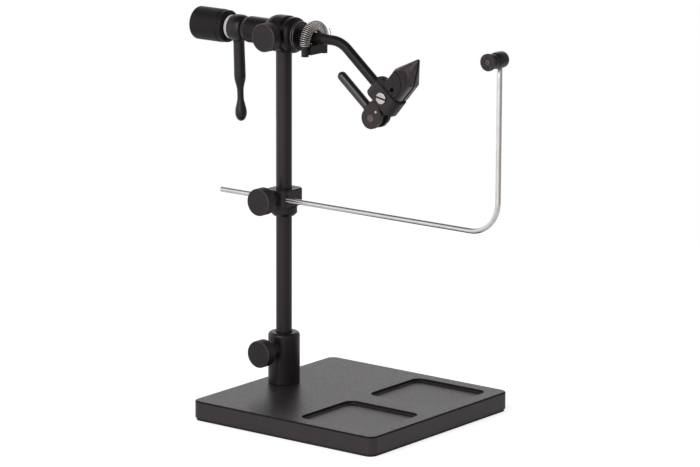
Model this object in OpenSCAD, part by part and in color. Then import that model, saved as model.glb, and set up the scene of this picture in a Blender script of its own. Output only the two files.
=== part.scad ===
// Rotary fly tying vise: pedestal plate, post, rotary head, bent stem with cam jaws, and a thread clip on a rod.
// The jaws point along +X, +Y runs to the far side, +Z is up, and the origin is the middle of the underside.

/* [Base] */
// Width of the square base
base_w = 133.8; // [120:0.1:160]
// Thickness of the base plate
plate_t = 10.5; // [9.5:0.1:14]
// Corner radius of the base plate
plate_r = 5.5; // [3:0.1:7]
// Bevel along the top edge of the plate
plate_bevel = 0.7; // [0.3:0.1:1.2]
// Thickness of the grip pad under the plate
pad_t = 1.4; // [1:0.1:2]
// How far the pad stays in from the plate's edge
pad_inset = 0.8; // [0.3:0.1:2]
// Depth of the two trays
tray_depth = 2; // [1:0.1:3]
// Rim between a tray and the plate's edge
tray_rim = 9.3; // [7:0.1:12]
// Land between the two trays
tray_gap = 16.8; // [12:0.1:20]
// From the middle of the plate forward to the trays
tray_start = 5.8; // [2:0.1:12]
// Corner radius of the trays
tray_r = 4.5; // [2.5:0.1:6]

/* [Post] */
// Height of the rotary axis above the table
axis_h = 222.8; // [215:0.1:240]
// From the plate's rear edge forward to the post
post_inset = 16.1; // [14:0.1:20]
// Diameter of the post
post_d = 9.5; // [9:0.1:10]
// Diameter of the socket that holds the post
socket_d = 19; // [17:0.1:21]
// Height of the socket
socket_h = 31.2; // [29:0.1:36]
// Rounding of the socket's top edge
socket_round = 3.4; // [2:0.1:3.6]
// Solid floor under the post in the socket
socket_floor = 7.5; // [7:0.1:9]
// Height of the socket's thumb screw above the plate
socket_screw_h = 21.6; // [19:0.1:23]

/* [Thumb screws] */
// Diameter of the three thumb knobs
knob_d = 16.3; // [14:0.1:18]
// Thickness of a thumb knob
knob_t = 6.8; // [5:0.1:8]
// Thread diameter of the thumb screws
thumb_d = 5; // [4:0.1:5.5]
// Diameter of the neck behind a thumb knob
neck_d = 8.4; // [7:0.1:9.5]
// From the post's axis out to the faces of the two lower knobs
knob_reach = 24.6; // [22:0.1:27]
// From the post's axis out to the face of the head's knob
head_knob_reach = 20.6; // [20:0.1:26]

/* [Rotary head] */
// Diameter of the head's barrel
barrel_d = 22.2; // [21.5:0.1:24]
// Barrel length behind the post's axis
barrel_back = 9; // [8.5:0.1:12]
// Barrel length ahead of the post's axis
barrel_front = 10.6; // [9.5:0.1:13]
// Diameter of the rear tube
tube_d = 15.8; // [15:0.1:17]
// Length of the rear tube
tube_len = 19.7; // [15:0.1:22]
// Diameter of the rotary shaft
shaft_d = 7; // [6:0.1:7.5]
// Wall of the bronze bushes
bush_wall = 1.5; // [1:0.1:1.8]
// Length of the rear bronze bush
bush_len = 7; // [5:0.1:8.5]
// Diameter of the collar at the barrel's front
front_collar_d = 17.2; // [15:0.1:19]
// Thickness of that collar
front_collar_t = 2.5; // [2:0.1:4]
// Diameter of the shaft's nose
nose_d = 6.6; // [6.4:0.1:6.8]
// Length of the shaft's nose
nose_len = 16; // [15:0.1:18]

/* [Crank and drag knob] */
// Diameter of the crank's hub
hub_d = 16.2; // [15.9:0.1:17]
// Length of the crank's hub
hub_len = 9.4; // [9:0.1:11]
// Thickness of the white friction washer
washer_t = 2; // [1.5:0.1:3]
// Diameter of the white friction washer
washer_d = 15.4; // [13:0.1:15.5]
// Diameter of the drag knob
drag_d = 19.8; // [18:0.1:22]
// Length of the drag knob
drag_len = 24.3; // [20:0.1:27]
// From the rotary axis down to the crank's end
crank_len = 56; // [52:0.1:60]
// Diameter of the crank's shank
crank_d = 6.7; // [6:0.1:7]
// Diameter of the crank's waist
crank_waist_d = 3.9; // [3:0.1:4.5]
// How far the crank sits behind the middle of its hub
crank_back = 1; // [0:0.1:1.2]
// Lean of the crank from the vertical, in degrees
crank_lean = 2; // [0:0.5:3]

/* [Material spring] */
// Radius of the spring's arch
arch_r = 8.8; // [8.2:0.1:9]
// Outer diameter of the spring's coil
coil_d = 6.7; // [6:0.1:6.8]
// Diameter of the spring wire
wire_d = 0.5; // [0.4:0.05:0.55]
// Number of turns along the arch
spring_turns = 24; // [12:1:25]
// Diameter of the saddle's bent rod
saddle_d = 4.4; // [4:0.1:4.5]
// From the post's axis forward to the spring
spring_fwd = 22.8; // [21:0.1:23]
// From the rotary axis down to the saddle's ends
saddle_drop = 10; // [9:0.1:11]
// How far the arch's centre lies under the rotary axis
arch_sink = 1.9; // [1:0.1:2]

/* [Stem and jaws] */
// Diameter of the bent stem
stem_d = 5.9; // [5:0.1:6]
// From the post's axis forward to the stem's bend
stem_fwd = 42.4; // [41.5:0.1:50]
// Angle that the stem drops, in degrees
stem_drop = 40; // [35:1:45]
// Radius of the stem's bend
stem_bend_r = 17; // [12:0.5:19]
// From the bend to the jaws' axis
stem_leg = 46.2; // [42:0.1:52]
// From the stem's line back to the cam's pin
cam_back = 15.7; // [15.5:0.1:18]
// Width of the jaw collar across its flats
collar_w = 11.6; // [11.4:0.1:13]
// Height of the jaw collar along the jaws
collar_h = 11.4; // [10.4:0.1:12]
// Collar length from the jaws' axis back over the stem
collar_back = 13.3; // [12:0.1:15]
// Collar length past the jaws' axis
collar_past = 8.9; // [8:0.1:10]
// Width of the jaw heads
jaw_w = 15.4; // [13:0.1:15.6]
// Thickness of the two closed jaws
jaw_thick = 9.8; // [9:0.1:11]
// Jaw length from the collar to where the taper starts
jaw_body = 12.6; // [10:0.1:14]
// Length of the jaws' taper
jaw_taper = 14.6; // [13:0.1:18]
// Slit between the closed jaws
jaw_slit = 0.4; // [0.3:0.05:0.6]
// Diameter of the cam's pin
cam_pin_d = 4.6; // [4:0.1:4.8]
// Radius of the cam's round end
cam_r = 6.3; // [6.1:0.1:6.4]
// Diameter of the cam lever
lever_d = 5.6; // [5:0.1:6]
// From the cam's pin to the lever's end
lever_len = 35; // [30:0.5:42]

/* [Thread clip] */
// Height of the clip rod above the table
rod_h = 125.2; // [110:0.1:140]
// Diameter of the clip rod
rod_d = 3.15; // [3:0.05:3.3]
// From the post's axis back to the rod's tail
rod_tail = 42.6; // [36:0.1:60]
// From the post's axis forward to the rod's upright
rod_reach = 160.4; // [150:0.1:175]
// Radius of the rod's bend
rod_bend_r = 19; // [14:0.5:30]
// Height of the clip's axis above the rod
rod_rise = 100.8; // [85:0.1:110]
// Width of the clamp block
clamp_w = 16; // [14:0.1:18]
// Height of the clamp block
clamp_h = 10.3; // [9.5:0.1:12]
// Height of the clamp's thumb screw over the rod
screw_lift = 0.4; // [0:0.1:0.6]
// Diameter of the stop collar under the clamp
stop_d = 15.8; // [14.5:0.1:18]
// Height of the stop collar
stop_h = 5.8; // [5.5:0.1:8]
// Diameter of the clip's body
clip_d = 9.7; // [9:0.1:11]
// Diameter of the clip's disc
disc_d = 9.9; // [9:0.1:12]
// Thickness of the clip's disc
disc_t = 2.4; // [2:0.1:3]
// Length of the clip's body
clip_len = 13.2; // [12:0.1:15]

/* [Hidden] */

$fn = 48;

// Clearances and overruns that all the pieces share
run_fit = 0.05;
seat_gap = 0.3;
face_gap = 0.1;
over = 1;

black = [0.13, 0.125, 0.135];
soft_black = [0.19, 0.185, 0.195];
steel = [0.78, 0.77, 0.76];
bronze = [0.62, 0.47, 0.28];
white = [0.93, 0.93, 0.96];
rubber = [0.1, 0.1, 0.1];

// Set screws, all of one size
set_d = 3;
set_len = 4.2;
set_key_d = 1.5;
set_key_deep = 1.6;

// Base and socket
plate_top = pad_t + plate_t;
bolt_d = 5;
bolt_head_d = 9.6;
bolt_head_t = 2.8;
bolt_len = 13.5;
pad_hole_d = 14;
bolt_key_d = 3;
bolt_key_deep = 1.8;
post_x = post_inset - base_w / 2;
socket_top = plate_top + socket_h;
post_r = post_d / 2;
socket_bore_r = post_r + run_fit;
post_foot = plate_top + socket_floor;
post_web = 1.1;
post_top = axis_h - shaft_d / 2 - run_fit - post_web;
bevel_small = 0.5;

// Head, along X from the post's axis
barrel_x0 = post_x - barrel_back;
barrel_x1 = post_x + barrel_front;
tube_x0 = barrel_x0 - tube_len;
hub_x1 = tube_x0 - face_gap;
hub_x0 = hub_x1 - hub_len;
hub_mid = (hub_x0 + hub_x1) / 2;
washer_x0 = hub_x0 - washer_t - face_gap;
drag_x1 = washer_x0 - face_gap;
drag_x0 = drag_x1 - drag_len;
collar_x0 = barrel_x1 + seat_gap;
collar_x1 = collar_x0 + front_collar_t;
nose_x1 = collar_x1 + nose_len;
shaft_tail = drag_x0 + drag_len / 4;
barrel_r = barrel_d / 2;
tube_r = tube_d / 2;
shaft_r = shaft_d / 2;
nose_r = nose_d / 2;
bush_r = shaft_r + bush_wall;
front_bush_x0 = post_x + post_r + seat_gap;
tip_d = 3.4;
tip_len = 2.6;
shoulder_len = 6.4;
groove_share = 0.45;
groove_back = 1.5;
groove_ahead = 1.3;
groove_deep = 0.9;
ridge_step = 0.45;
nose_round = 2.8;
front_rim = 0.6;
head_set_z = (axis_h - barrel_r + post_top) / 2 - bevel_small;

// Crank and drag knob
hub_crown = 1.3;
tube_round = 1.6;
crank_x = hub_mid - crank_back;
crank_shoulder = 28.7;
crank_waist = 38;
crank_waist_end = 41.6;
crank_swell = 0.15;
crank_tip = 5.2;
crank_steps = 6;
drag_round = 2.4;
drag_neck = 0.5;
drag_neck_r = 6.9;
drag_rim = 2.3;
drag_groove = 0.5;

// Spring and saddle
spring_x = post_x + spring_fwd;
coil_r = (coil_d - wire_d) / 2;
spring_leg = 1.6;
spring_seat = arch_sink + spring_leg + wire_d + seat_gap;
yoke_w = 7;
yoke_lift = 1;
yoke_top = nose_r + seat_gap;
yoke_end = arch_r - saddle_d / 4;
curl_rings = 8;
wire_sides = 6;
spring_steps = spring_turns * curl_rings;
spring_path = PI * arch_r + 2 * spring_leg;

// Stem and jaw frame: local z runs along the jaws from the cam's pin, local x along the stem
bend_x = post_x + stem_fwd;
stem_arc_start = stem_bend_r * tan(stem_drop / 2);
stem_root = 11;
stem_root_r = 2;
weld = 0.3;
bend_thin = 0.03;
collar_z0 = cam_back - collar_h / 2 - seat_gap;
collar_z1 = collar_z0 + collar_h;
stem_grip = 7;
stem_end = collar_back - stem_grip;
collar_corner = 4.6;
head_z0 = collar_z1 + seat_gap;
taper_z0 = collar_z1 + jaw_body;
tip_z = taper_z0 + jaw_taper;
shank_r = 4.2;
shank_gap = 0.3;
cone_len = 5;
cone_rise = 0.7;
tongue_t = 4.8;
tip_r = 0.7;
tip_grip = 4.5;
tip_slit = 0.12;
side_hole_d = 2.6;
side_hole_up = 3;
jaw_spring_d = 2.4;
jaw_spring_len = 3.2;
jaw_spring_up = 6.6;
cam_gap = 0.4;
cam_relief = 0.15;
cam_front = collar_z0 - cam_gap;
cam_travel = cam_front - cam_r;
cam_half_w = 5;
cam_slot = tongue_t / 2 + face_gap;
cam_slot_r = shank_r + seat_gap;
boss_len = 1.5;
boss_r = 3.1;
lever_up = 0.8;
rivet_d = 1.4;
rivet_x = 0.4;
rivet_up = 5.8;
stub_d = 3.6;
stub_len = 3;
guide_d = 4.4;
guide_tip_d = 3;
guide_tip_y = 3.4;
guide_play = 0.2;
guide_head_d = 6.8;
guide_head_t = 1.5;
guide_sink = 0.5;
guide_x = -1.6;
guide_turn = 61;
guide_slot_w = 0.9;
guide_slot_deep = 0.7;

// Clip rod and clamp
rod_r = rod_d / 2;
rod_y = -(post_r + rod_r + seat_gap);
rod_x0 = post_x - rod_tail;
rod_x1 = post_x + rod_reach;
rod_top = rod_h + rod_rise;
clamp_far = 9.8;
clamp_near = 10;
clamp_r = 4;
clamp_z0 = rod_h - clamp_h / 2;
stop_z1 = clamp_z0 - face_gap;
stop_z0 = stop_z1 - stop_h;
stop_bevel = 1.6;
window_x = 5;
rod_tip_bevel = 0.3;

// Clip on top of the rod, along Y
clip_back_r = 3.6;
clip_shoulder = 3.2;
clip_y1 = rod_y + clip_back_r;
clip_y0 = clip_y1 - clip_len;
groove_w = 1.4;
disc_y1 = clip_y0 - seat_gap;
disc_y0 = disc_y1 - disc_t;
clip_screw_d = 2;
clip_screw_head_d = 3.6;
clip_screw_head_t = 1.1;
clip_screw_len = 8;
clip_ring_w = 0.7;
clip_ring_deep = 0.35;
clip_travel = 1;
pocket_d = 4.8;
pocket_deep = 4.2;
clip_spring_d = 4.5;
clip_spring_wall = 0.8;
rod_seat = 3.2;
clip_edge = 0.8;
clip_dome = 1.6;
cross_w = 0.5;
cross_deep = 0.5;

// Points of an arc about c, from angle a0 to a1
function arc(c, r, a0, a1, n = 6) =
    [for (i = [0:n]) let (a = a0 + (a1 - a0) * i / n) [c[0] + r * cos(a), c[1] + r * sin(a)]];

// A rectangle with round corners, made of exact arcs
module round_rect(x0, x1, y0, y1, r) {
    union() {
        translate([x0 + r, y0])
            square([x1 - x0 - 2 * r, y1 - y0]);
        translate([x0, y0 + r])
            square([x1 - x0, y1 - y0 - 2 * r]);
        for (x = [x0 + r, x1 - r], y = [y0 + r, y1 - r])
            translate([x, y])
                circle(r);
    }
}

// A turned piece along +X, from stations of distance and radius
module turned_x(stations) {
    rotate([0, 90, 0])
        rotate_extrude()
            polygon(concat([[0, stations[0][0]]], [for (s = stations) [s[1], s[0]]],
                [[0, stations[len(stations) - 1][0]]]));
}

// The same, along -Y
module turned_y(stations) {
    rotate([0, 0, -90])
        turned_x(stations);
}

// The same, along +Z
module turned_z(stations) {
    rotate([0, -90, 0])
        turned_x(stations);
}

// Cylinders along X and Y between two places
module rod_along_x(x0, x1, r) {
    translate([x0, 0, 0])
        rotate([0, 90, 0])
            cylinder(h = x1 - x0, r = r);
}

module rod_along_y(y0, y1, r) {
    translate([0, y0, 0])
        rotate([-90, 0, 0])
            cylinder(h = y1 - y0, r = r);
}

// A socket set screw whose face is at the origin and whose tip points along -Z
module set_screw(length) {
    key_deep = min(set_key_deep, length / 2);
    color(soft_black)
        difference() {
            translate([0, 0, -length])
                cylinder(h = length, d = set_d);
            translate([0, 0, -key_deep])
                cylinder(h = key_deep + over, d = set_key_d, $fn = 6);
        }
}

// A thumb screw along -Y: knob, neck and thread, with its tip at tip_y
module thumbscrew(reach, neck_y, tip_y) {
    knob_y = reach - knob_t;
    color(black)
        turned_y([
            [-tip_y, 0], [-tip_y, thumb_d / 2 - bevel_small], [-tip_y + bevel_small, thumb_d / 2],
            [neck_y, thumb_d / 2], [neck_y, neck_d / 2], [knob_y, neck_d / 2],
            [knob_y, knob_d / 2 - bevel_small], [knob_y + bevel_small, knob_d / 2],
            [reach - bevel_small, knob_d / 2], [reach, knob_d / 2 - bevel_small], [reach, 0]
        ]);
}

// Base

module plate_outline(inset) {
    half = base_w / 2 - inset;
    round_rect(-half, half, -half, half, plate_r - inset);
}

module tray(side) {
    far_edge = base_w / 2 - tray_rim;
    y0 = side < 0 ? -far_edge : tray_gap / 2;
    y1 = side < 0 ? -tray_gap / 2 : far_edge;
    translate([0, 0, plate_top - tray_depth])
        linear_extrude(tray_depth + over)
            round_rect(tray_start, far_edge, y0, y1, tray_r);
}

module base_plate() {
    color(black)
        difference() {
            union() {
                translate([0, 0, pad_t])
                    linear_extrude(plate_t - plate_bevel)
                        plate_outline(0);
                translate([0, 0, plate_top - plate_bevel])
                    linear_extrude(plate_bevel / 2)
                        plate_outline(plate_bevel / 4);
                translate([0, 0, plate_top - plate_bevel / 2])
                    linear_extrude(plate_bevel / 2)
                        plate_outline(plate_bevel);
            }
            tray(-1);
            tray(1);
            translate([post_x, 0, pad_t - over])
                cylinder(h = plate_t + 2 * over, r = bolt_d / 2 + face_gap);
            translate([post_x, 0, pad_t - over])
                cylinder(h = bolt_head_t + face_gap + over, r = bolt_head_d / 2 + seat_gap);
        }
}

module base_pad() {
    color(rubber)
        difference() {
            linear_extrude(pad_t)
                plate_outline(pad_inset);
            translate([post_x, 0, -over])
                cylinder(h = pad_t + 2 * over, d = pad_hole_d);
        }
}

module socket_bolt() {
    color(steel)
        translate([post_x, 0, pad_t + face_gap])
            difference() {
                union() {
                    cylinder(h = bolt_head_t, d = bolt_head_d);
                    cylinder(h = bolt_len, d = bolt_d);
                }
                translate([0, 0, -over])
                    cylinder(h = bolt_key_deep + over, d = bolt_key_d, $fn = 6);
            }
}

module socket() {
    socket_r = socket_d / 2;
    bolt_tip = pad_t + face_gap + bolt_len;
    color(black)
        translate([post_x, 0, 0])
            difference() {
                turned_z(concat(
                    [[plate_top, 0], [plate_top, socket_r]],
                    [for (p = arc([socket_r - socket_round, socket_top - socket_round], socket_round, 0, 90))
                        [p[1], p[0]]],
                    [[socket_top, 0]]));
                translate([0, 0, post_foot])
                    cylinder(h = socket_h, r = socket_bore_r);
                translate([0, 0, plate_top - over])
                    cylinder(h = bolt_tip - plate_top + over + face_gap, r = bolt_d / 2);
                translate([0, 0, plate_top + socket_screw_h])
                    rod_along_y(-socket_d, 0, thumb_d / 2 + run_fit);
            }
}

module socket_thumbscrew() {
    translate([post_x, 0, plate_top + socket_screw_h])
        thumbscrew(knob_reach, socket_d / 2 + seat_gap, -(post_r + seat_gap));
}

module post() {
    color(black)
        translate([post_x, 0, 0])
            turned_z([
                [post_foot + face_gap, post_r - bevel_small], [post_foot + face_gap + bevel_small, post_r],
                [post_top - bevel_small, post_r], [post_top, post_r - bevel_small]
            ]);
}

// Rotary head

module head_housing() {
    groove_x = post_x + barrel_front * groove_share;
    ridge_r = barrel_r - ridge_step;
    color(black)
        difference() {
            translate([0, 0, axis_h])
                turned_x(concat(
                    [for (a = [0:22.5:90]) [tube_x0 + tube_round * (1 - cos(a)), tube_r - tube_round * (1 - sin(a))]],
                    [[barrel_x0, tube_r]],
                    [for (a = [0:15:90])
                        [barrel_x0 + shoulder_len * (1 - cos(a)), tube_r + (barrel_r - tube_r) * sin(a)]],
                    [for (a = [90:-18:0])
                        [groove_x - groove_back * sin(a), barrel_r - groove_deep * cos(a) * cos(a)]],
                    [for (a = [0:18:90])
                        [groove_x + groove_ahead * sin(a), ridge_r - (groove_deep - ridge_step) * cos(a) * cos(a)]],
                    [for (a = [90:-15:0])
                        [barrel_x1 - nose_round + nose_round * cos(a), ridge_r - nose_round + nose_round * sin(a)]]
                ));
            translate([0, 0, axis_h]) {
                rod_along_x(tube_x0 - over, barrel_x1 + over, shaft_r + face_gap);
                rod_along_x(tube_x0 - over, tube_x0 + bush_len, bush_r);
                rod_along_x(front_bush_x0, barrel_x1 + over, bush_r);
            }
            translate([post_x, 0, axis_h - barrel_d])
                cylinder(h = post_top + face_gap - axis_h + barrel_d, r = post_r + run_fit);
            translate([post_x, 0, axis_h])
                rod_along_y(-barrel_d, 0, thumb_d / 2 + run_fit);
            translate([post_x, 0, head_set_z])
                rod_along_y(0, barrel_d, set_d / 2);
        }
}

module head_set_screw() {
    translate([post_x, post_r + seat_gap + set_len, head_set_z])
        rotate([-90, 0, 0])
            set_screw(set_len);
}

module bush(x0, x1) {
    color(bronze)
        translate([0, 0, axis_h])
            difference() {
                rod_along_x(x0, x1, bush_r);
                rod_along_x(x0 - over, x1 + over, shaft_r + run_fit);
            }
}

module front_bush() {
    bush(front_bush_x0, barrel_x1);
}

module rear_bush() {
    bush(tube_x0, tube_x0 + bush_len);
}

module head_thumbscrew() {
    translate([post_x, 0, axis_h])
        difference() {
            thumbscrew(head_knob_reach, barrel_r + seat_gap, -(shaft_r + seat_gap + tip_len / 2));
            rod_along_y(-(shaft_r + seat_gap + tip_len), 0, tip_d / 2);
        }
}

module thumbscrew_tip() {
    color(white)
        translate([post_x, 0, axis_h])
            rod_along_y(-(shaft_r + seat_gap + tip_len), -(shaft_r + seat_gap), tip_d / 2);
}

module rotary_shaft() {
    color(soft_black)
        difference() {
            translate([0, 0, axis_h])
                turned_x([
                    [shaft_tail, shaft_r - bevel_small], [shaft_tail + bevel_small, shaft_r],
                    [collar_x1, shaft_r], [collar_x1, nose_r],
                    [nose_x1 - bevel_small / 2, nose_r], [nose_x1, nose_r - bevel_small / 2]
                ]);
            translate([0, 0, axis_h])
                rod_along_x(nose_x1 - stem_root, nose_x1 + over, stem_root_r);
            translate([nose_x1 - set_d, 0, axis_h - nose_d])
                cylinder(h = nose_d, d = set_d);
            translate([spring_x, 0, axis_h - nose_d])
                cylinder(h = nose_d - nose_r + seat_gap * 2, d = set_d);
        }
}

module front_collar() {
    r = front_collar_d / 2;
    color(black)
        translate([0, 0, axis_h])
            difference() {
                turned_x([
                    [collar_x0, r - front_rim], [collar_x0 + front_rim, r], [collar_x1 - front_rim, r],
                    [collar_x1, r - front_rim]
                ]);
                rod_along_x(collar_x0 - over, collar_x1 + over, shaft_r);
            }
}

// Spring saddle: a bent rod over the nose, joined by a yoke under it

module spring_saddle() {
    color(soft_black)
        translate([spring_x, 0, axis_h])
            difference() {
                union() {
                    translate([0, 0, -arch_sink])
                        rotate([90, 0, 90])
                            rotate_extrude(angle = 180)
                                translate([arch_r, 0])
                                    circle(d = saddle_d);
                    for (side = [-1, 1])
                        translate([0, side * arch_r, -saddle_drop])
                            cylinder(h = saddle_drop - arch_sink, d = saddle_d);
                    difference() {
                        translate([-yoke_w / 2, -yoke_end, -saddle_drop + yoke_lift])
                            cube([yoke_w, 2 * yoke_end, saddle_drop - yoke_lift - yoke_top]);
                        // Seats for the two ends of the spring
                        for (side = [-1, 1])
                            translate([0, side * arch_r, -spring_seat])
                                cylinder(h = spring_seat, d = coil_d + 2 * seat_gap);
                    }
                }
                translate([0, 0, -2 * saddle_drop])
                    cylinder(h = 2 * saddle_drop, d = set_d);
            }
}

module saddle_screw() {
    translate([spring_x, 0, axis_h - saddle_drop + yoke_lift])
        rotate([180, 0, 0])
            set_screw(saddle_drop - yoke_lift - nose_r + seat_gap);
}

// Middle line of the arch at share t of its length: place and direction in the plane across the head
function arch_at(t) =
    let (s = t * spring_path)
    s < spring_leg ? [[-arch_r, s - spring_leg], [0, 1]] :
    s > spring_path - spring_leg ? [[arch_r, spring_path - spring_leg - s], [0, -1]] :
    let (a = 180 - (s - spring_leg) / arch_r * 180 / PI)
    [[arch_r * cos(a), arch_r * sin(a)], [sin(a), -cos(a)]];

// Wire centre at share t: the coil goes round the middle line
function wire_at(t) =
    let (m = arch_at(t), turn = 360 * spring_turns * t, side = [m[1][1], -m[1][0]])
    [coil_r * cos(turn), m[0][0] + coil_r * sin(turn) * side[0], m[0][1] + coil_r * sin(turn) * side[1]];

wire_core = [for (i = [0:spring_steps]) wire_at(i / spring_steps)];
wire_line = concat([wire_core[0] - [0, 0, wire_d]], wire_core, [wire_core[spring_steps] - [0, 0, wire_d]]);
wire_last = len(wire_line) - 1;

function unit_of(v) = v / norm(v);
function wire_ring(i) =
    let (
        ends = i == 0 || i == wire_last,
        along = ends ? [0, 0, i == 0 ? 1 : -1] : unit_of(wire_line[i + 1] - wire_line[i - 1]),
        mid = arch_at(min(max((i - 1) / spring_steps, 0), 1)),
        out = wire_line[i] - [0, mid[0][0], ends ? wire_line[i][2] : mid[0][1]],
        up = unit_of(out - along * (out * along)),
        across = cross(along, up)
    )
    [for (k = [0:wire_sides - 1])
        wire_line[i] + wire_d / 2 * (cos(k * 360 / wire_sides) * up + sin(k * 360 / wire_sides) * across)];

// Least gap between turns, measured between the wire's rings half a turn and more apart
wire_gap = min([for (i = [0:wire_last - curl_rings + 2], j = [i + curl_rings - 2:min(i + curl_rings + 2, wire_last)])
    norm(wire_line[i] - wire_line[j])]) - wire_d;
echo(least_gap_between_turns = wire_gap);

module material_spring() {
    last = wire_last * wire_sides;
    points = [for (i = [0:wire_last]) each wire_ring(i)];
    sides = [for (i = [0:wire_last - 1], k = [0:wire_sides - 1])
        let (a = i * wire_sides + k, b = i * wire_sides + (k + 1) % wire_sides, up = wire_sides)
        each [[a, b, b + up], [a, b + up, a + up]]];
    caps = [for (k = [1:wire_sides - 2]) each [[0, k + 1, k], [last, last + k, last + k + 1]]];
    color(steel)
        translate([spring_x, 0, axis_h - arch_sink])
            polyhedron(points, concat(sides, caps));
}

// Crank and drag knob

module crank_hub() {
    r = hub_d / 2;
    color(black)
        difference() {
            translate([0, 0, axis_h])
                turned_x([for (a = [0:22.5:180])
                    [hub_mid - hub_len / 2 * cos(a), r - hub_crown * (1 - sin(a))]]);
            translate([0, 0, axis_h])
                rod_along_x(hub_x0 - over, hub_x1 + over, shaft_r);
            translate([crank_x, 0, axis_h])
                rotate([0, -crank_lean, 0])
                    translate([0, 0, -hub_d])
                        cylinder(h = hub_d - shaft_r - seat_gap, d = stub_d + 2 * run_fit);
            translate([hub_mid, 0, axis_h])
                cylinder(h = hub_d, d = set_d);
        }
}

module hub_set_screw() {
    translate([hub_mid, 0, axis_h + shaft_r + face_gap + set_len - bevel_small])
        set_screw(set_len - bevel_small);
}

module crank_lever() {
    r = crank_d / 2;
    top = hub_d / 2 + seat_gap;
    ball_r = r + crank_swell;
    ball_z = crank_len - crank_tip;
    waist = crank_waist_d / 2;
    steps = crank_steps;
    color(black)
        translate([crank_x, 0, axis_h])
            rotate([0, 180 - crank_lean, 0])
                turned_z(concat(
                    [[shaft_r + 2 * seat_gap, stub_d / 2], [top, stub_d / 2], [top, r - seat_gap]],
                    [[top + seat_gap, r], [crank_shoulder, ball_r]],
                    [for (i = [0:steps]) let (t = i / steps)
                        [crank_shoulder + bevel_small + (crank_waist - crank_shoulder) * t,
                            waist + (ball_r - waist) * (1 + cos(180 * t)) / 2]],
                    [for (i = [1:steps]) let (t = i / steps)
                        [crank_waist_end + bevel_small + (ball_z - crank_waist_end - bevel_small) * t,
                            ball_r - (ball_r - waist) * (1 + cos(180 * t)) / 2]],
                    [for (i = [1:steps]) let (a = 90 * i / steps)
                        [ball_z + (crank_len - ball_z) * sin(a), ball_r * cos(a)]]
                ));
}

module friction_washer() {
    color(white)
        translate([0, 0, axis_h])
            difference() {
                rod_along_x(washer_x0, washer_x0 + washer_t, washer_d / 2);
                rod_along_x(washer_x0 - over, hub_x0, shaft_r + face_gap);
            }
}

module drag_knob() {
    r = drag_d / 2;
    rim_x = drag_x1 - drag_neck;
    groove_x = rim_x - drag_rim;
    color(black)
        translate([0, 0, axis_h])
            difference() {
                turned_x(concat(
                    [for (a = [0:15:90]) [drag_x0 + drag_round * (1 - cos(a)), r - drag_round * (1 - sin(a))]],
                    [[groove_x - drag_groove, r], [groove_x - drag_groove, r - drag_groove]],
                    [[groove_x, r - drag_groove], [groove_x, r]],
                    [[rim_x - drag_groove, r], [rim_x, r - drag_groove]],
                    [[rim_x, drag_neck_r], [drag_x1, drag_neck_r]]
                ));
                rod_along_x(shaft_tail - seat_gap, drag_x1 + over, shaft_r + run_fit);
            }
}

// Stem and jaws

module in_jaw_frame() {
    translate([bend_x, 0, axis_h])
        rotate([0, stem_drop, 0])
            translate([stem_leg, 0, -cam_back])
                children();
}

module stem() {
    stem_r = stem_d / 2;
    color(black)
        union() {
            translate([0, 0, axis_h])
                rod_along_x(nose_x1 - stem_root + face_gap, nose_x1 + weld, stem_root_r - bend_thin);
            translate([0, 0, axis_h])
                rod_along_x(nose_x1 + face_gap, bend_x - stem_arc_start + weld, stem_r);
            translate([bend_x - stem_arc_start, 0, axis_h - stem_bend_r])
                rotate([90, 0, 0])
                    rotate([0, 0, 90 - stem_drop])
                        rotate_extrude(angle = stem_drop)
                            translate([stem_bend_r, 0])
                                circle(stem_r - bend_thin);
            in_jaw_frame()
                translate([0, 0, cam_back])
                    rod_along_x(stem_arc_start - stem_leg - weld, -stem_end, stem_r);
        }
}

module stem_set_screw() {
    translate([nose_x1 - set_d, 0, axis_h - nose_r - seat_gap])
        rotate([180, 0, 0])
            set_screw(nose_r + seat_gap - stem_root_r - face_gap);
}

module jaw_collar() {
    bore_r = shank_r + shank_gap;
    stem_hole_end = stem_end - seat_gap;
    color(black)
        in_jaw_frame()
            difference() {
                union() {
                    translate([0, 0, collar_z0 + bevel_small])
                        linear_extrude(collar_h - 2 * bevel_small)
                            round_rect(-collar_back, collar_past, -collar_w / 2, collar_w / 2, collar_corner);
                    translate([0, 0, collar_z0])
                        linear_extrude(collar_h)
                            round_rect(-collar_back + bevel_small, collar_past - bevel_small,
                                -collar_w / 2 + bevel_small, collar_w / 2 - bevel_small, collar_corner - bevel_small);
                }
                translate([0, 0, collar_z0 - over])
                    cylinder(h = collar_h + 2 * over, r = bore_r);
                translate([0, 0, collar_z1 - cone_len])
                    cylinder(h = cone_len, r1 = bore_r, r2 = bore_r + cone_rise);
                translate([0, 0, cam_back])
                    rod_along_x(-collar_back - over, -stem_hole_end, stem_d / 2);
                translate([-collar_back + set_d, 0, cam_back])
                    cylinder(h = collar_h, d = set_d);
                translate([guide_x, 0, cam_back])
                    rod_along_y(-collar_w, 0, guide_d / 2);
                translate([guide_x, 0, cam_back])
                    rod_along_y(-collar_w, -collar_w / 2 + guide_sink, guide_head_d / 2 + face_gap);
            }
}

module collar_set_screw() {
    in_jaw_frame()
        translate([-collar_back + set_d, 0, collar_z1 - face_gap])
            set_screw(collar_z1 - face_gap - cam_back - stem_d / 2 - face_gap);
}

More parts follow.
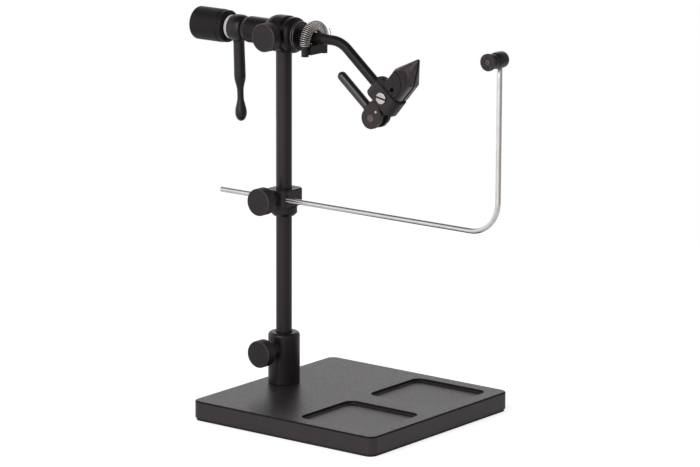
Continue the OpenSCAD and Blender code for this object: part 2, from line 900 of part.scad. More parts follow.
module jaw_guide_screw() {
    head_y = -collar_w / 2 + guide_sink;
    color(steel)
        in_jaw_frame()
            translate([guide_x, 0, cam_back])
                difference() {
                    union() {
                        rod_along_y(head_y - guide_head_t, head_y, guide_head_d / 2);
                        rod_along_y(head_y, -shank_r - shank_gap, guide_d / 2);
                        rod_along_y(head_y, -guide_tip_y, guide_tip_d / 2);
                    }
                    rotate([0, guide_turn, 0])
                        translate([-guide_slot_w / 2, head_y - guide_head_t - over, -guide_head_d])
                            cube([guide_slot_w, guide_slot_deep + over, 2 * guide_head_d]);
                }
}

// Both jaws as one turned and flattened bar with its tongue, before the slit
module jaw_bar() {
    head_r = jaw_w / 2;
    neck_r = shank_r + cone_rise;
    difference() {
        union() {
            intersection() {
                turned_z([
                    [head_z0, head_r - bevel_small], [head_z0 + bevel_small, head_r],
                    [taper_z0, head_r], [tip_z, tip_r]
                ]);
                translate([-jaw_w, -jaw_thick / 2, head_z0 - over])
                    cube([2 * jaw_w, jaw_thick, tip_z]);
            }
            turned_z([
                [0, shank_r], [collar_z1 - cone_len, shank_r], [collar_z1, neck_r], [head_z0 + over, neck_r]
            ]);
            rod_along_y(-tongue_t / 2, tongue_t / 2, shank_r);
        }
        for (side = [-1, 1])
            translate([-jaw_w, side > 0 ? tongue_t / 2 : -jaw_w - tongue_t / 2, -jaw_w])
                cube([2 * jaw_w, jaw_w, jaw_w + collar_z0 - seat_gap]);
        rod_along_y(-jaw_w, jaw_w, cam_pin_d / 2 + run_fit);
    }
}

// One jaw: the side of the bar beyond the slit, with its holes
module jaw_half(side) {
    slit = jaw_slit / 2;
    grip = tip_slit / 2;
    spring_z = collar_z1 + jaw_spring_up;
    guide_half = guide_tip_d / 2 + guide_play;
    color(black)
        in_jaw_frame()
            difference() {
                jaw_bar();
                translate([-jaw_w, side < 0 ? -slit : slit - jaw_w, -2 * shank_r])
                    cube([2 * jaw_w, jaw_w, tip_z - tip_grip + 2 * shank_r]);
                translate([-jaw_w, side < 0 ? -grip : grip - jaw_w, -2 * shank_r])
                    cube([2 * jaw_w, jaw_w, tip_z + 4 * shank_r]);
                translate([0, 0, spring_z])
                    rod_along_y(-jaw_spring_len / 2 - face_gap, jaw_spring_len / 2 + face_gap,
                        jaw_spring_d / 2 + run_fit);
                if (side < 0) {
                    translate([0, 0, collar_z1 + side_hole_up])
                        rod_along_y(-jaw_thick, 0, side_hole_d / 2);
                    translate([guide_x - guide_half, -jaw_thick, cam_back - guide_half - cam_travel])
                        cube([2 * guide_half, jaw_thick - guide_tip_y + guide_play, 2 * guide_half + cam_travel]);
                }
            }
}

module near_jaw() {
    jaw_half(-1);
}

module far_jaw() {
    jaw_half(1);
}

module jaw_spring() {
    color(steel)
        in_jaw_frame()
            translate([0, 0, collar_z1 + jaw_spring_up])
                rod_along_y(-jaw_spring_len / 2, jaw_spring_len / 2, jaw_spring_d / 2);
}

module cam_pin() {
    color(soft_black)
        in_jaw_frame()
            rod_along_y(-cam_half_w, cam_half_w, cam_pin_d / 2);
}

// Cam outline, x along the stem and y along the jaws: flat to the collar, falling away as the lever swings
function cam_curve() =
    concat(
        [[-cam_r, 0], [-cam_r, cam_front - over], [-cam_r + over, cam_front], [0, cam_front]],
        [for (a = [5:5:90]) let (r = cam_front - cam_relief - cam_travel * a / 90) [r * sin(a), r * cos(a)]],
        [for (a = [-10:-10:-170]) [cam_r * cos(a), cam_r * sin(a)]]
    );

module cam_head() {
    color(black)
        in_jaw_frame()
            difference() {
                union() {
                    translate([0, cam_half_w, 0])
                        rotate([90, 0, 0])
                            linear_extrude(2 * cam_half_w)
                                polygon(cam_curve());
                    translate([0, 0, lever_up])
                        rod_along_x(-cam_r - boss_len, -cam_slot_r, boss_r);
                }
                translate([-cam_slot_r, -cam_slot, 0])
                    cube([3 * cam_slot_r, 2 * cam_slot, 3 * cam_slot_r]);
                translate([0, -cam_slot, -cam_slot_r])
                    cube([3 * cam_slot_r, 2 * cam_slot, 3 * cam_slot_r]);
                rod_along_y(-cam_slot, cam_slot, cam_slot_r);
                rod_along_y(-2 * cam_half_w, 2 * cam_half_w, cam_pin_d / 2 + run_fit);
                translate([0, 0, lever_up])
                    rod_along_x(-2 * lever_d - cam_r, 0, stub_d / 2);
                translate([rivet_x, 0, rivet_up])
                    rod_along_y(-2 * cam_half_w, 2 * cam_half_w, rivet_d / 2);
            }
}

module rivet(y0, y1) {
    color(steel)
        in_jaw_frame()
            translate([rivet_x, 0, rivet_up])
                rod_along_y(y0, y1, rivet_d / 2);
}

module near_rivet() {
    rivet(-cam_half_w, -cam_slot - face_gap);
}

module far_rivet() {
    rivet(cam_slot + face_gap, cam_half_w);
}

module cam_lever() {
    r = lever_d / 2;
    color(black)
        in_jaw_frame()
            translate([0, 0, lever_up])
                rotate([0, 0, 180])
                    turned_x(concat(
                        [[cam_r + boss_len - stub_len, stub_d / 2], [cam_r + boss_len, stub_d / 2]],
                        [[cam_r + boss_len, r], [lever_len - r, r]],
                        [for (a = [15:15:90]) [lever_len - r + r * sin(a), r * cos(a)]]
                    ));
}

// Thread clip

module stop_collar() {
    r = stop_d / 2;
    color(black)
        translate([post_x, 0, 0])
            difference() {
                turned_z([
                    [stop_z0, r - stop_bevel], [stop_z0 + stop_bevel, r],
                    [stop_z1 - bevel_small, r], [stop_z1, r - bevel_small]
                ]);
                translate([0, 0, stop_z0 - over])
                    cylinder(h = stop_h + 2 * over, r = post_r + run_fit);
                translate([0, 0, (stop_z0 + stop_z1) / 2])
                    rod_along_y(0, stop_d, set_d / 2);
            }
}

module stop_set_screw() {
    face_y = stop_d / 2 - bevel_small;
    translate([post_x, face_y, (stop_z0 + stop_z1) / 2])
        rotate([-90, 0, 0])
            set_screw(face_y - post_r - face_gap);
}

module clamp_block() {
    window_z = rod_r + run_fit;
    color(black)
        translate([post_x, 0, 0])
            difference() {
                union() {
                    translate([0, 0, clamp_z0 + bevel_small])
                        linear_extrude(clamp_h - 2 * bevel_small)
                            round_rect(-clamp_w / 2, clamp_w / 2, -clamp_near, clamp_far, clamp_r);
                    translate([0, 0, clamp_z0])
                        linear_extrude(clamp_h)
                            round_rect(-clamp_w / 2 + bevel_small, clamp_w / 2 - bevel_small,
                                -clamp_near + bevel_small, clamp_far - bevel_small, clamp_r - bevel_small);
                }
                translate([0, 0, clamp_z0 - over])
                    cylinder(h = clamp_h + 2 * over, r = post_r + run_fit);
                translate([0, rod_y, rod_h])
                    rod_along_x(-clamp_w, clamp_w, rod_r + run_fit);
                translate([-window_x / 2, rod_y, rod_h - window_z])
                    cube([window_x, -rod_y, 2 * window_z]);
                translate([0, 0, rod_h + screw_lift])
                    rod_along_y(-2 * clamp_near, rod_y, thumb_d / 2 + run_fit);
            }
}

module clamp_thumbscrew() {
    translate([post_x, 0, rod_h + screw_lift])
        thumbscrew(knob_reach, clamp_near + seat_gap, rod_y - rod_r - seat_gap);
}

module clip_rod() {
    color(steel)
        union() {
            translate([0, rod_y, rod_h])
                turned_x([
                    [rod_x0, rod_r - rod_tip_bevel], [rod_x0 + rod_tip_bevel, rod_r], [rod_x1 - rod_bend_r, rod_r]
                ]);
            translate([rod_x1 - rod_bend_r, rod_y, rod_h + rod_bend_r])
                rotate([90, 0, 0])
                    rotate([0, 0, -90])
                        rotate_extrude(angle = 90)
                            translate([rod_bend_r, 0])
                                circle(rod_r);
            translate([rod_x1, rod_y, rod_h + rod_bend_r])
                cylinder(h = rod_rise - rod_bend_r, r = rod_r);
        }
}

// Places on the clip's axis, from a point on it
module on_clip_axis() {
    translate([rod_x1, 0, rod_top])
        children();
}

module clip_body() {
    r = clip_d / 2;
    waist_r = disc_d / 2 - groove_w;
    groove_y = -clip_y0 - groove_w;
    color(black)
        on_clip_axis()
            difference() {
                turned_y(concat(
                    [for (a = [0:22.5:90]) [-clip_y1 + clip_dome * (1 - cos(a)), r - clip_dome * (1 - sin(a))]],
                    [[groove_y - clip_shoulder, r], [groove_y - clip_shoulder + clip_edge, r - clip_edge]],
                    [[groove_y - clip_edge, r - clip_edge], [groove_y, waist_r], [-clip_y0, waist_r]]
                ));
                translate([0, rod_y, -clip_d])
                    cylinder(h = clip_d + rod_seat - rod_r, r = rod_r + run_fit);
                rod_along_y(clip_y0 - over, clip_y0 + pocket_deep, pocket_d / 2);
                rod_along_y(clip_y0 - over, clip_y0 + clip_screw_len - disc_t, clip_screw_d / 2 + run_fit);
                translate([0, rod_y, 0])
                    rod_along_y(0, clip_d, set_d / 2);
            }
}

module clip_set_screw() {
    on_clip_axis()
        translate([0, clip_y1 - face_gap, 0])
            rotate([-90, 0, 0])
                set_screw(clip_y1 - face_gap - rod_y - rod_r - face_gap);
}

module clip_spring() {
    color(steel)
        on_clip_axis()
            difference() {
                rod_along_y(clip_y0, clip_y0 + pocket_deep - clip_travel, clip_spring_d / 2);
                rod_along_y(clip_y0 - over, clip_y0 + pocket_deep, clip_spring_d / 2 - clip_spring_wall);
            }
}

module clip_disc() {
    r = disc_d / 2;
    ring_in = clip_screw_head_d / 2 + clip_ring_w;
    head_floor = disc_y0 + clip_screw_head_t;
    color(soft_black)
        on_clip_axis()
            difference() {
                turned_y([
                    [-disc_y1, r - bevel_small], [-disc_y1 + bevel_small, r], [-disc_y0 - bevel_small, r],
                    [-disc_y0, r - bevel_small]
                ]);
                rod_along_y(disc_y0 - over, disc_y1 + over, clip_screw_d / 2);
                rod_along_y(disc_y0 - over, head_floor, clip_screw_head_d / 2 + face_gap);
                difference() {
                    rod_along_y(disc_y0 - over, disc_y0 + clip_ring_deep, ring_in + clip_ring_w);
                    rod_along_y(disc_y0 - 2 * over, disc_y0 + over, ring_in);
                }
            }
}

module clip_screw() {
    head_floor = disc_y0 + clip_screw_head_t - face_gap;
    color(steel)
        on_clip_axis()
            difference() {
                union() {
                    rod_along_y(disc_y0, head_floor, clip_screw_head_d / 2);
                    rod_along_y(disc_y0, disc_y0 + clip_screw_len, clip_screw_d / 2);
                }
                for (turn = [45, 135])
                    rotate([0, turn, 0])
                        translate([-cross_w / 2, disc_y0 - over, -clip_screw_head_d / 3])
                            cube([cross_w, cross_deep + over, clip_screw_head_d * 2 / 3]);
            }
}

base_plate();
base_pad();
socket();
socket_bolt();
socket_thumbscrew();
post();
head_housing();
head_set_screw();
front_bush();
rear_bush();
head_thumbscrew();
thumbscrew_tip();
rotary_shaft();
front_collar();
spring_saddle();
saddle_screw();
material_spring();
crank_hub();
hub_set_screw();
crank_lever();
friction_washer();
drag_knob();
stem();
stem_set_screw();
jaw_collar();
collar_set_screw();
jaw_guide_screw();
near_jaw();
far_jaw();
jaw_spring();
cam_pin();
cam_head();
near_rivet();
far_rivet();
cam_lever();
stop_collar();
stop_set_screw();
clamp_block();
clamp_thumbscrew();
clip_rod();
clip_body();
clip_set_screw();
clip_spring();
clip_disc();
clip_screw();
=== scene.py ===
import math

import bmesh
import bpy
from mathutils import Matrix, Vector


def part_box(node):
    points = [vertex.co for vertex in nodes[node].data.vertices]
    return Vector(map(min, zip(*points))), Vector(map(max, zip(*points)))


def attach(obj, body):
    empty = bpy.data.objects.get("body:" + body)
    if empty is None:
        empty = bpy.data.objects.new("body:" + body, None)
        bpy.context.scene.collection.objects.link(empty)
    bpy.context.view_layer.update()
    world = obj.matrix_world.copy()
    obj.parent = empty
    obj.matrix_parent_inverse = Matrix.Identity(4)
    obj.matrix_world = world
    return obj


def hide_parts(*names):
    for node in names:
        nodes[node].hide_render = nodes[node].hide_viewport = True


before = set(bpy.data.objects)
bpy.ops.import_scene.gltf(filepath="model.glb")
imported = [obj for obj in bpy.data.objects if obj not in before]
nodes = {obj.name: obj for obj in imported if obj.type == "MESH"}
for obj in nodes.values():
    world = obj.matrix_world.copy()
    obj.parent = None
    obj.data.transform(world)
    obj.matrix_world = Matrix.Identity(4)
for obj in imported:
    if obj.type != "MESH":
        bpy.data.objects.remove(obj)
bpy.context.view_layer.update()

MM = 0.001

# Camera: the photograph's direction and distance from TARGET, and its lens, solved in pixels of the photograph
TARGET = Vector((0.0, 0.0, 0.1))
CAM_AZ, CAM_EL, CAM_ROLL = math.radians(37.740), math.radians(12.812), math.radians(0.208)
CAM_DIST = 2.2849
FOCAL_PX, PHOTO_W, PHOTO_H = 3901.7, 700, 467
AXIS_PX = (351.675, 249.895)
SENSOR = 36.0
CLIP_NEAR, CLIP_FAR = 0.05, 20


def add_camera():
    """The camera at the photograph's place, with the small shift of its framing."""
    data = bpy.data.cameras.new("camera")
    cam = bpy.data.objects.new("camera", data)
    bpy.context.scene.collection.objects.link(cam)
    back = Vector((math.sin(CAM_AZ) * math.cos(CAM_EL), -math.cos(CAM_AZ) * math.cos(CAM_EL), math.sin(CAM_EL)))
    right = Vector((math.cos(CAM_AZ), math.sin(CAM_AZ), 0))
    up = back.cross(right)
    rolled_right = right * math.cos(CAM_ROLL) + up * math.sin(CAM_ROLL)
    rolled_up = up * math.cos(CAM_ROLL) - right * math.sin(CAM_ROLL)
    place = Matrix((rolled_right, rolled_up, back)).transposed().to_4x4()
    place.translation = TARGET + back * CAM_DIST
    cam.matrix_world = place
    data.sensor_fit = "HORIZONTAL"
    data.sensor_width = SENSOR
    data.lens = FOCAL_PX / PHOTO_W * SENSOR
    data.shift_x = (PHOTO_W / 2 - AXIS_PX[0]) / PHOTO_W
    data.shift_y = (AXIS_PX[1] - PHOTO_H / 2) / PHOTO_W
    data.clip_start, data.clip_end = CLIP_NEAR, CLIP_FAR
    bpy.context.scene.camera = cam


add_camera()


# Places from the CAD frame, in metres
def middle(node):
    """The middle of a node's box."""
    low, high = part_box(node)
    return (Vector(low) + Vector(high)) / 2


# Jaw frame: origin on the cam's pin, one axis down the stem's line, one up the jaws
JAW_PIN = middle("cam_pin")
STEM_DROP = math.radians(40)
DOWN_STEM = Vector((math.cos(STEM_DROP), 0, -math.sin(STEM_DROP)))
UP_JAWS = Vector((math.sin(STEM_DROP), 0, math.cos(STEM_DROP)))


def in_jaws(up, down=0.0):
    """A point of the jaw frame, from its distances in mm."""
    return JAW_PIN + (UP_JAWS * up + DOWN_STEM * down) * MM


# Middle of the ground arcs on the jaws' flats
JAW_ARCS = in_jaws(25.0, -4.0)


# Materials
COLOR_A, COLOR_B, COLOR_OUT = 6, 7, 2  # the colour sockets of a Mix node
BLACK_TINT = (1.0, 0.90, 0.95, 1)  # the black finish reflects a little pink
WEAR_GLINT_FROM, WEAR_GLINT_FULL = 0.53, 0.62  # the sharpness at which an edge starts to get lighter, as wear and painted highlight, and where it is lightest
TONE_LOW, TONE_HIGH = 0.85, 1.15  # how far the cloudy part of a finish goes from its tone
GRAIN_GLOSS, CLOUD_GLOSS = 0.09, 0.05  # how far roughness goes from its mean, by grain and by cloud
# painted shade in the slit between the jaws: its tone and roughness
SLIT_SHADE_TONE, SLIT_SHADE_ROUGH = (0.004, 0.0035, 0.0035), 0.95
GLINT_FADE_FROM, GLINT_FADE_TO = 1.6, 4.4  # mm from the seam between which a ground flank goes from its painted highlight to a darker tone


def grey(value):
    """A plain number as a colour, for a mix."""
    return (value,) * 3


def scaled(tone, factor):
    """A tone made lighter or darker."""
    return tuple(min(1, c * factor) for c in tone)


class Mat:
    """A small helper that builds a node material around one Principled shader."""

    def __init__(self, name):
        self.mat = bpy.data.materials.new(name)
        self.mat.use_nodes = True
        self.nt = self.mat.node_tree
        self.bsdf = self.nt.nodes["Principled BSDF"]

    def node(self, kind, **values):
        n = self.nt.nodes.new(kind)
        for key, value in values.items():
            if hasattr(n, key):
                setattr(n, key, value)
            else:
                n.inputs[key.replace("_", " ")].default_value = value
        return n

    def link(self, a, b):
        self.nt.links.new(a, b)

    def set(self, **values):
        for key, value in values.items():
            self.bsdf.inputs[key.replace("_", " ")].default_value = value

    def noise(self, scale, detail=2.0, rough=0.5, stretch=None, turn=0.0):
        """Noise factor; a small value in stretch draws it out along that axis, turned about Y by turn."""
        coords = self.node("ShaderNodeTexCoord")
        out = coords.outputs["Object"]
        if stretch:
            mapping = self.node("ShaderNodeMapping", vector_type="TEXTURE")
            mapping.inputs["Rotation"].default_value = (0, turn, 0)
            mapping.inputs["Scale"].default_value = tuple(1 / s for s in stretch)
            self.link(out, mapping.inputs["Vector"])
            out = mapping.outputs["Vector"]
        n = self.node("ShaderNodeTexNoise", Scale=scale, Detail=detail, Roughness=rough)
        self.link(out, n.inputs["Vector"])
        return n.outputs["Fac"]

    def span(self, fac, low, high, start=0.3, end=0.7):
        r = self.node("ShaderNodeMapRange")
        for key, value in (("From Min", start), ("From Max", end), ("To Min", low), ("To Max", high)):
            r.inputs[key].default_value = value
        self.link(fac, r.inputs["Value"])
        return r.outputs["Result"]

    def mix(self, fac, a, b):
        m = self.node("ShaderNodeMix", data_type="RGBA")
        self.link(fac, m.inputs["Factor"])
        for socket, value in ((m.inputs[COLOR_A], a), (m.inputs[COLOR_B], b)):
            if isinstance(value, tuple):
                socket.default_value = (*value, 1)
            else:
                self.link(value, socket)
        return m.outputs[COLOR_OUT]

    def edge(self):
        """How sharp the surface is: 0.5 on flats, more on outer edges."""
        g = self.node("ShaderNodeNewGeometry")
        return g.outputs["Pointiness"]

    def bump(self, heights, edge_mm=0.0):
        """Bump from (factor, distance in mm) layers over a softened edge."""
        normal = None
        if edge_mm:
            b = self.node("ShaderNodeBevel", samples=6, Radius=edge_mm * MM)
            normal = b.outputs["Normal"]
        for fac, mm in heights:
            n = self.node("ShaderNodeBump", Strength=1.0, Distance=mm * MM)
            self.link(fac, n.inputs["Height"])
            if normal:
                self.link(normal, n.inputs["Normal"])
            normal = n.outputs["Normal"]
        self.link(normal, self.bsdf.inputs["Normal"])


def black_metal(name, tone, rough, grain=1400.0, depth=0.012, edge=0.25, gloss=0.3, wear_glint=2.6):
    """Black finish on metal: fine grain so many mm deep, edges so many times lighter as wear and painted
    highlight, uneven gloss.
    """
    m = Mat(name)
    fine = m.noise(grain, detail=3.0, rough=0.6)
    cloud = m.noise(60.0, detail=3.0)
    wear_glint_mask = m.span(m.edge(), 0.0, 0.5, WEAR_GLINT_FROM, WEAR_GLINT_FULL)
    base = m.mix(m.span(cloud, 0.0, 1.0), scaled(tone, TONE_LOW), scaled(tone, TONE_HIGH))
    m.link(m.mix(wear_glint_mask, base, scaled(tone, wear_glint)), m.bsdf.inputs["Base Color"])
    both = m.mix(m.span(fine, 0.0, 1.0), grey(rough - GRAIN_GLOSS), grey(rough + GRAIN_GLOSS))
    m.link(m.mix(m.span(cloud, 0.0, 0.3), both, grey(rough)), m.bsdf.inputs["Roughness"])
    m.set(Metallic=0.0, Specular_IOR_Level=gloss, Specular_Tint=BLACK_TINT)
    m.bump([(fine, depth)], edge)
    return m.mat


def bright_metal(name, tone, rough):
    """Bare or plated steel with a fine unevenness."""
    m = Mat(name)
    fine = m.noise(300.0, detail=4.0, rough=0.6, stretch=(1, 1, 1))
    cloud = m.noise(90.0)
    m.link(m.mix(m.span(fine, 0.0, 1.0), scaled(tone, 0.86), tone), m.bsdf.inputs["Base Color"])
    m.link(m.span(cloud, rough - CLOUD_GLOSS, rough + 0.06), m.bsdf.inputs["Roughness"])
    m.set(Metallic=1.0)
    m.bump([(fine, 0.004)], edge_mm=0.1)
    return m.mat


def plastic(name, tone, rough):
    """Moulded plastic or rubber, a little cloudy."""
    m = Mat(name)
    cloud = m.noise(250.0)
    m.link(m.mix(m.span(cloud, 0.0, 1.0), scaled(tone, 0.94), tone), m.bsdf.inputs["Base Color"])
    m.link(m.span(cloud, rough - CLOUD_GLOSS, rough + CLOUD_GLOSS), m.bsdf.inputs["Roughness"])
    m.bump([(m.noise(1500.0), 0.006)], edge_mm=0.1)
    return m.mat


def add_slit_shade(m, tone, base, gloss_map, dark_to, ends_at, outer):
    """Painted shade: the dark line of the slit between the jaws, round y = 0, in mm; outer is the share of the
    tone far from it, past the painted highlight beside the slit.
    """
    parts = m.node("ShaderNodeSeparateXYZ")
    m.link(m.node("ShaderNodeTexCoord").outputs["Object"], parts.inputs[0])
    absolute = m.node("ShaderNodeMath", operation="ABSOLUTE")
    m.link(parts.outputs["Y"], absolute.inputs[0])
    off = absolute.outputs[0]
    # painted highlight: the flank keeps its full tone near the seam and darkens away from it
    if outer:
        base = m.mix(m.span(off, 0.0, 1.0, GLINT_FADE_FROM * MM, GLINT_FADE_TO * MM), base, scaled(tone, outer))
    seam = m.span(off, 1.0, 0.0, dark_to * MM, ends_at * MM)
    return m.mix(seam, base, SLIT_SHADE_TONE), m.mix(seam, gloss_map, grey(SLIT_SHADE_ROUGH))


def add_rings(m, tone, base, rough, cloud, centre, spacing, dark_ring_from, dark_ring_to):
    """Ground arcs round a centre, so many mm apart, and a darker ring between two radii in mm."""
    spot = m.node("ShaderNodeVectorMath", operation="DISTANCE")
    spot.inputs[1].default_value = centre
    m.link(m.node("ShaderNodeTexCoord").outputs["Object"], spot.inputs[0])
    away = spot.outputs["Value"]
    phase = m.node("ShaderNodeMath", operation="MULTIPLY_ADD")
    phase.inputs[1].default_value = 2 * math.pi / (spacing * MM)
    m.link(away, phase.inputs[0])
    m.link(m.span(cloud, 0.0, 4.0), phase.inputs[2])
    sine = m.node("ShaderNodeMath", operation="SINE")
    m.link(phase.outputs[0], sine.inputs[0])
    wave = sine.outputs[0]
    base = m.mix(m.span(wave, 0.0, 0.9, -1.0, 1.0), base, scaled(tone, 0.2))
    soft = 0.5
    both = m.node("ShaderNodeMath", operation="MULTIPLY")
    m.link(m.span(away, 0.0, 1.0, dark_ring_from * MM, (dark_ring_from + soft) * MM), both.inputs[0])
    m.link(m.span(away, 1.0, 0.0, (dark_ring_to - soft) * MM, dark_ring_to * MM), both.inputs[1])
    dark_ring = both.outputs[0]
    gloss_map = m.span(wave, rough - 0.1, rough + 0.35, -1.0, 1.0)
    return m.mix(dark_ring, base, scaled(tone, 0.15)), m.mix(dark_ring, gloss_map, grey(0.9))


def lined_metal(name, tone, rough, stretch, depth=0.006, gloss=0.4, edge=0.2, turn=0.0, contrast=0.2,
                rings=None, seam=None):
    """Black finish over machined lines along the axis where stretch is small, with rings, or a seam of painted
    shade, if given.
    """
    m = Mat(name)
    lines = m.noise(900.0, detail=3.0, rough=0.6, stretch=stretch, turn=turn)
    cloud = m.noise(120.0, detail=3.0)
    base = m.mix(m.span(lines, 0.0, 1.0), scaled(tone, 1 - contrast), scaled(tone, 1 + contrast))
    gloss_map = m.span(cloud, rough - CLOUD_GLOSS, rough + CLOUD_GLOSS)
    if rings:
        base, gloss_map = add_rings(m, tone, base, rough, cloud, *rings)
    if seam:
        base, gloss_map = add_slit_shade(m, tone, base, gloss_map, *seam)
    else:
        # edges lighter, as wear and painted highlight
        base = m.mix(m.span(m.edge(), 0.0, 0.6, WEAR_GLINT_FROM, WEAR_GLINT_FULL), base, scaled(tone, 2.6))
    m.link(base, m.bsdf.inputs["Base Color"])
    m.link(gloss_map, m.bsdf.inputs["Roughness"])
    m.set(Metallic=0.0, Specular_IOR_Level=gloss, Specular_Tint=BLACK_TINT)
    m.bump([(lines, depth), (m.noise(1500.0), 0.006)], edge)
    return m.mat


# Each finish: its material's name, its tone and its roughness, and how its surface differs from the usual
ALONG_JAWS = {"stretch": (1.0, 1.0, 0.05), "turn": STEM_DROP, "edge": 0.1}
FINE = {"grain": 1800.0, "depth": 0.006}
MATS = {
    "wire": bright_metal("spring_wire", (0.79, 0.735, 0.71), 0.25),
    "plate": black_metal("plate_black", (0.022, 0.0180, 0.0190), 0.38, grain=900.0, depth=0.03, edge=0.3,
                         gloss=0.62),
    "black": black_metal("black_anodised", (0.0125, 0.0100, 0.0115), 0.33, gloss=0.42),
    # painted highlight: the knob's edges are made much lighter
    "knob": black_metal("black_knob", (0.0215, 0.0175, 0.0185), 0.55, gloss=0.38, wear_glint=4.5),
    "drag": black_metal("black_drag", (0.0112, 0.0090, 0.0098), 0.45, gloss=0.22),
    # painted shade: a very dark black for the plate's rounded top edge and its tray walls
    "lip": black_metal("plate_painted_shade", (0.0070, 0.0058, 0.0062), 0.5, grain=900.0, depth=0.02, gloss=0.2, wear_glint=1.0),
    "lever": black_metal("black_lever", (0.0190, 0.0165, 0.0170), 0.24, grain=1200.0, depth=0.006, edge=0.2,
                         gloss=0.8),
    "stem": black_metal("black_stem", (0.0125, 0.0100, 0.0105), 0.36, grain=700.0, depth=0.02, gloss=0.3),
    # painted highlight: a lighter black for the knobs' front rims and the collar's beads; the clip screw is made
    # of it too
    "edge": black_metal("light_black_glint", (0.085, 0.074, 0.074), 0.3, gloss=0.6),
    "barrel": black_metal("black_barrel", (0.0105, 0.0085, 0.0095), 0.3, gloss=0.25),
    "gloss": black_metal("black_polished", (0.0130, 0.0105, 0.0115), 0.2, grain=1800.0, depth=0.004, edge=0.2,
                         gloss=0.5),
    # painted highlight: the disc's rim is made much lighter
    "disc": black_metal("black_turned", (0.0200, 0.0165, 0.0190), 0.3, **FINE, edge=0.1, gloss=0.5, wear_glint=6.0),
    "block": lined_metal("black_milled", (0.0125, 0.0100, 0.0115), 0.36, (0.05, 0.05, 1.0)),
    "jaw": lined_metal("black_ground", (0.0125, 0.0095, 0.0100), 0.32, (0.3, 1.0, 0.3), gloss=0.3, contrast=0.4,
                       rings=(JAW_ARCS, 2.1, 9.4, 10.9)),
    # painted shade along the slit between the jaws; the flank also has a painted highlight beside it
    "cone": lined_metal("brown_ground", (0.052, 0.041, 0.042), 0.32, **ALONG_JAWS, gloss=0.4, contrast=0.6,
                        seam=(0.45, 0.8, None)),
    "flank": lined_metal("bare_ground", (0.30, 0.26, 0.25), 0.34, **ALONG_JAWS, depth=0.004, gloss=0.5,
                         contrast=0.25, seam=(0.9, 1.3, 0.12)),
    "pin": black_metal("pin_end", (0.150, 0.120, 0.112), 0.45, grain=1500.0, depth=0.01, edge=0.2, gloss=0.5),
    "cheek": black_metal("black_brown", (0.0210, 0.0155, 0.0145), 0.38, grain=1500.0, depth=0.01, edge=0.2,
                         gloss=0.5),
    "dark": black_metal("black_oxide", (0.0150, 0.0120, 0.0125), 0.34, **FINE, edge=0.2),
    "steel": bright_metal("bright_steel", (0.64, 0.60, 0.575), 0.26),
    "rod": bright_metal("drawn_rod", (0.82, 0.79, 0.77), 0.24),
    "bronze": bright_metal("bronze", (0.45, 0.30, 0.15), 0.4),
    "white": plastic("white_nylon", (0.80, 0.80, 0.85), 0.45),
    "rubber": plastic("grip_rubber", (0.02, 0.02, 0.02), 0.8),
}
# The material of each CAD node; those that aren't named here are black
NODE_MATS = {
    "plate": ["base_plate"],
    "rubber": ["base_pad"],
    "knob": ["socket_thumbscrew", "head_thumbscrew", "clamp_thumbscrew"],
    "drag": ["drag_knob"],
    "dark": ["head_set_screw", "stem", "rotary_shaft", "spring_saddle", "saddle_screw", "hub_set_screw",
             "stem_set_screw", "collar_set_screw", "stop_set_screw", "clip_set_screw", "clip_disc"],
    "jaw": ["near_jaw", "far_jaw"],
    "pin": ["cam_pin"],
    "gloss": ["cam_lever", "clip_body"],
    "block": ["clamp_block"],
    "steel": ["socket_bolt", "material_spring", "jaw_guide_screw", "jaw_spring", "near_rivet", "far_rivet",
              "clip_spring", "clip_screw"],
    "rod": ["clip_rod"],
    "bronze": ["front_bush", "rear_bush"],
    "white": ["thumbscrew_tip", "friction_washer"],
}
by_node = {n: key for key, group in NODE_MATS.items() for n in group}
for name, obj in nodes.items():
    obj.data.materials.clear()
    obj.data.materials.append(MATS[by_node.get(name, "black")])


# Shapes
RINGS = 96  # faces round a turned piece
POINT = 1e-4  # mm: a smaller radius of a turned piece is one point on its axis
WELD = 2e-6  # m: closer vertices of a CAD mesh are one
FLAT = math.radians(0.6)  # faces of a CAD mesh that meet at less are one
SHARP = math.radians(30)  # edges of a CAD mesh that turn by more are rounded


def quarter(steps, first=0):
    """Angles in equal steps up to a right angle."""
    return [math.pi / 2 * k / steps for k in range(first, steps + 1)]


def shares(steps):
    """Numbers in equal steps from 0 to 1."""
    return [k / steps for k in range(steps + 1)]


def to_object(name, mesh, mat):
    """A new object from a mesh, with its material and smooth shading that keeps flat faces flat."""
    piece = bpy.data.objects.new(name, mesh)
    bpy.context.scene.collection.objects.link(piece)
    mesh.materials.clear()
    mesh.materials.append(MATS[mat])
    for face in mesh.polygons:
        face.use_smooth = True
    flat = piece.modifiers.new("flat_faces", "WEIGHTED_NORMAL")
    flat.keep_sharp = True
    return piece


def stands_for(piece, body, slot, *replaced):
    """Ties a piece to its CAD body, and hides the CAD nodes that it stands for; slot is not used."""
    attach(piece, body)
    if replaced:
        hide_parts(*replaced)


def paint(piece, mat, chosen):
    """Gives another material to the faces that chosen picks."""
    piece.data.materials.append(MATS[mat])
    for face in piece.data.polygons:
        if chosen(face):
            face.material_index = len(piece.data.materials) - 1


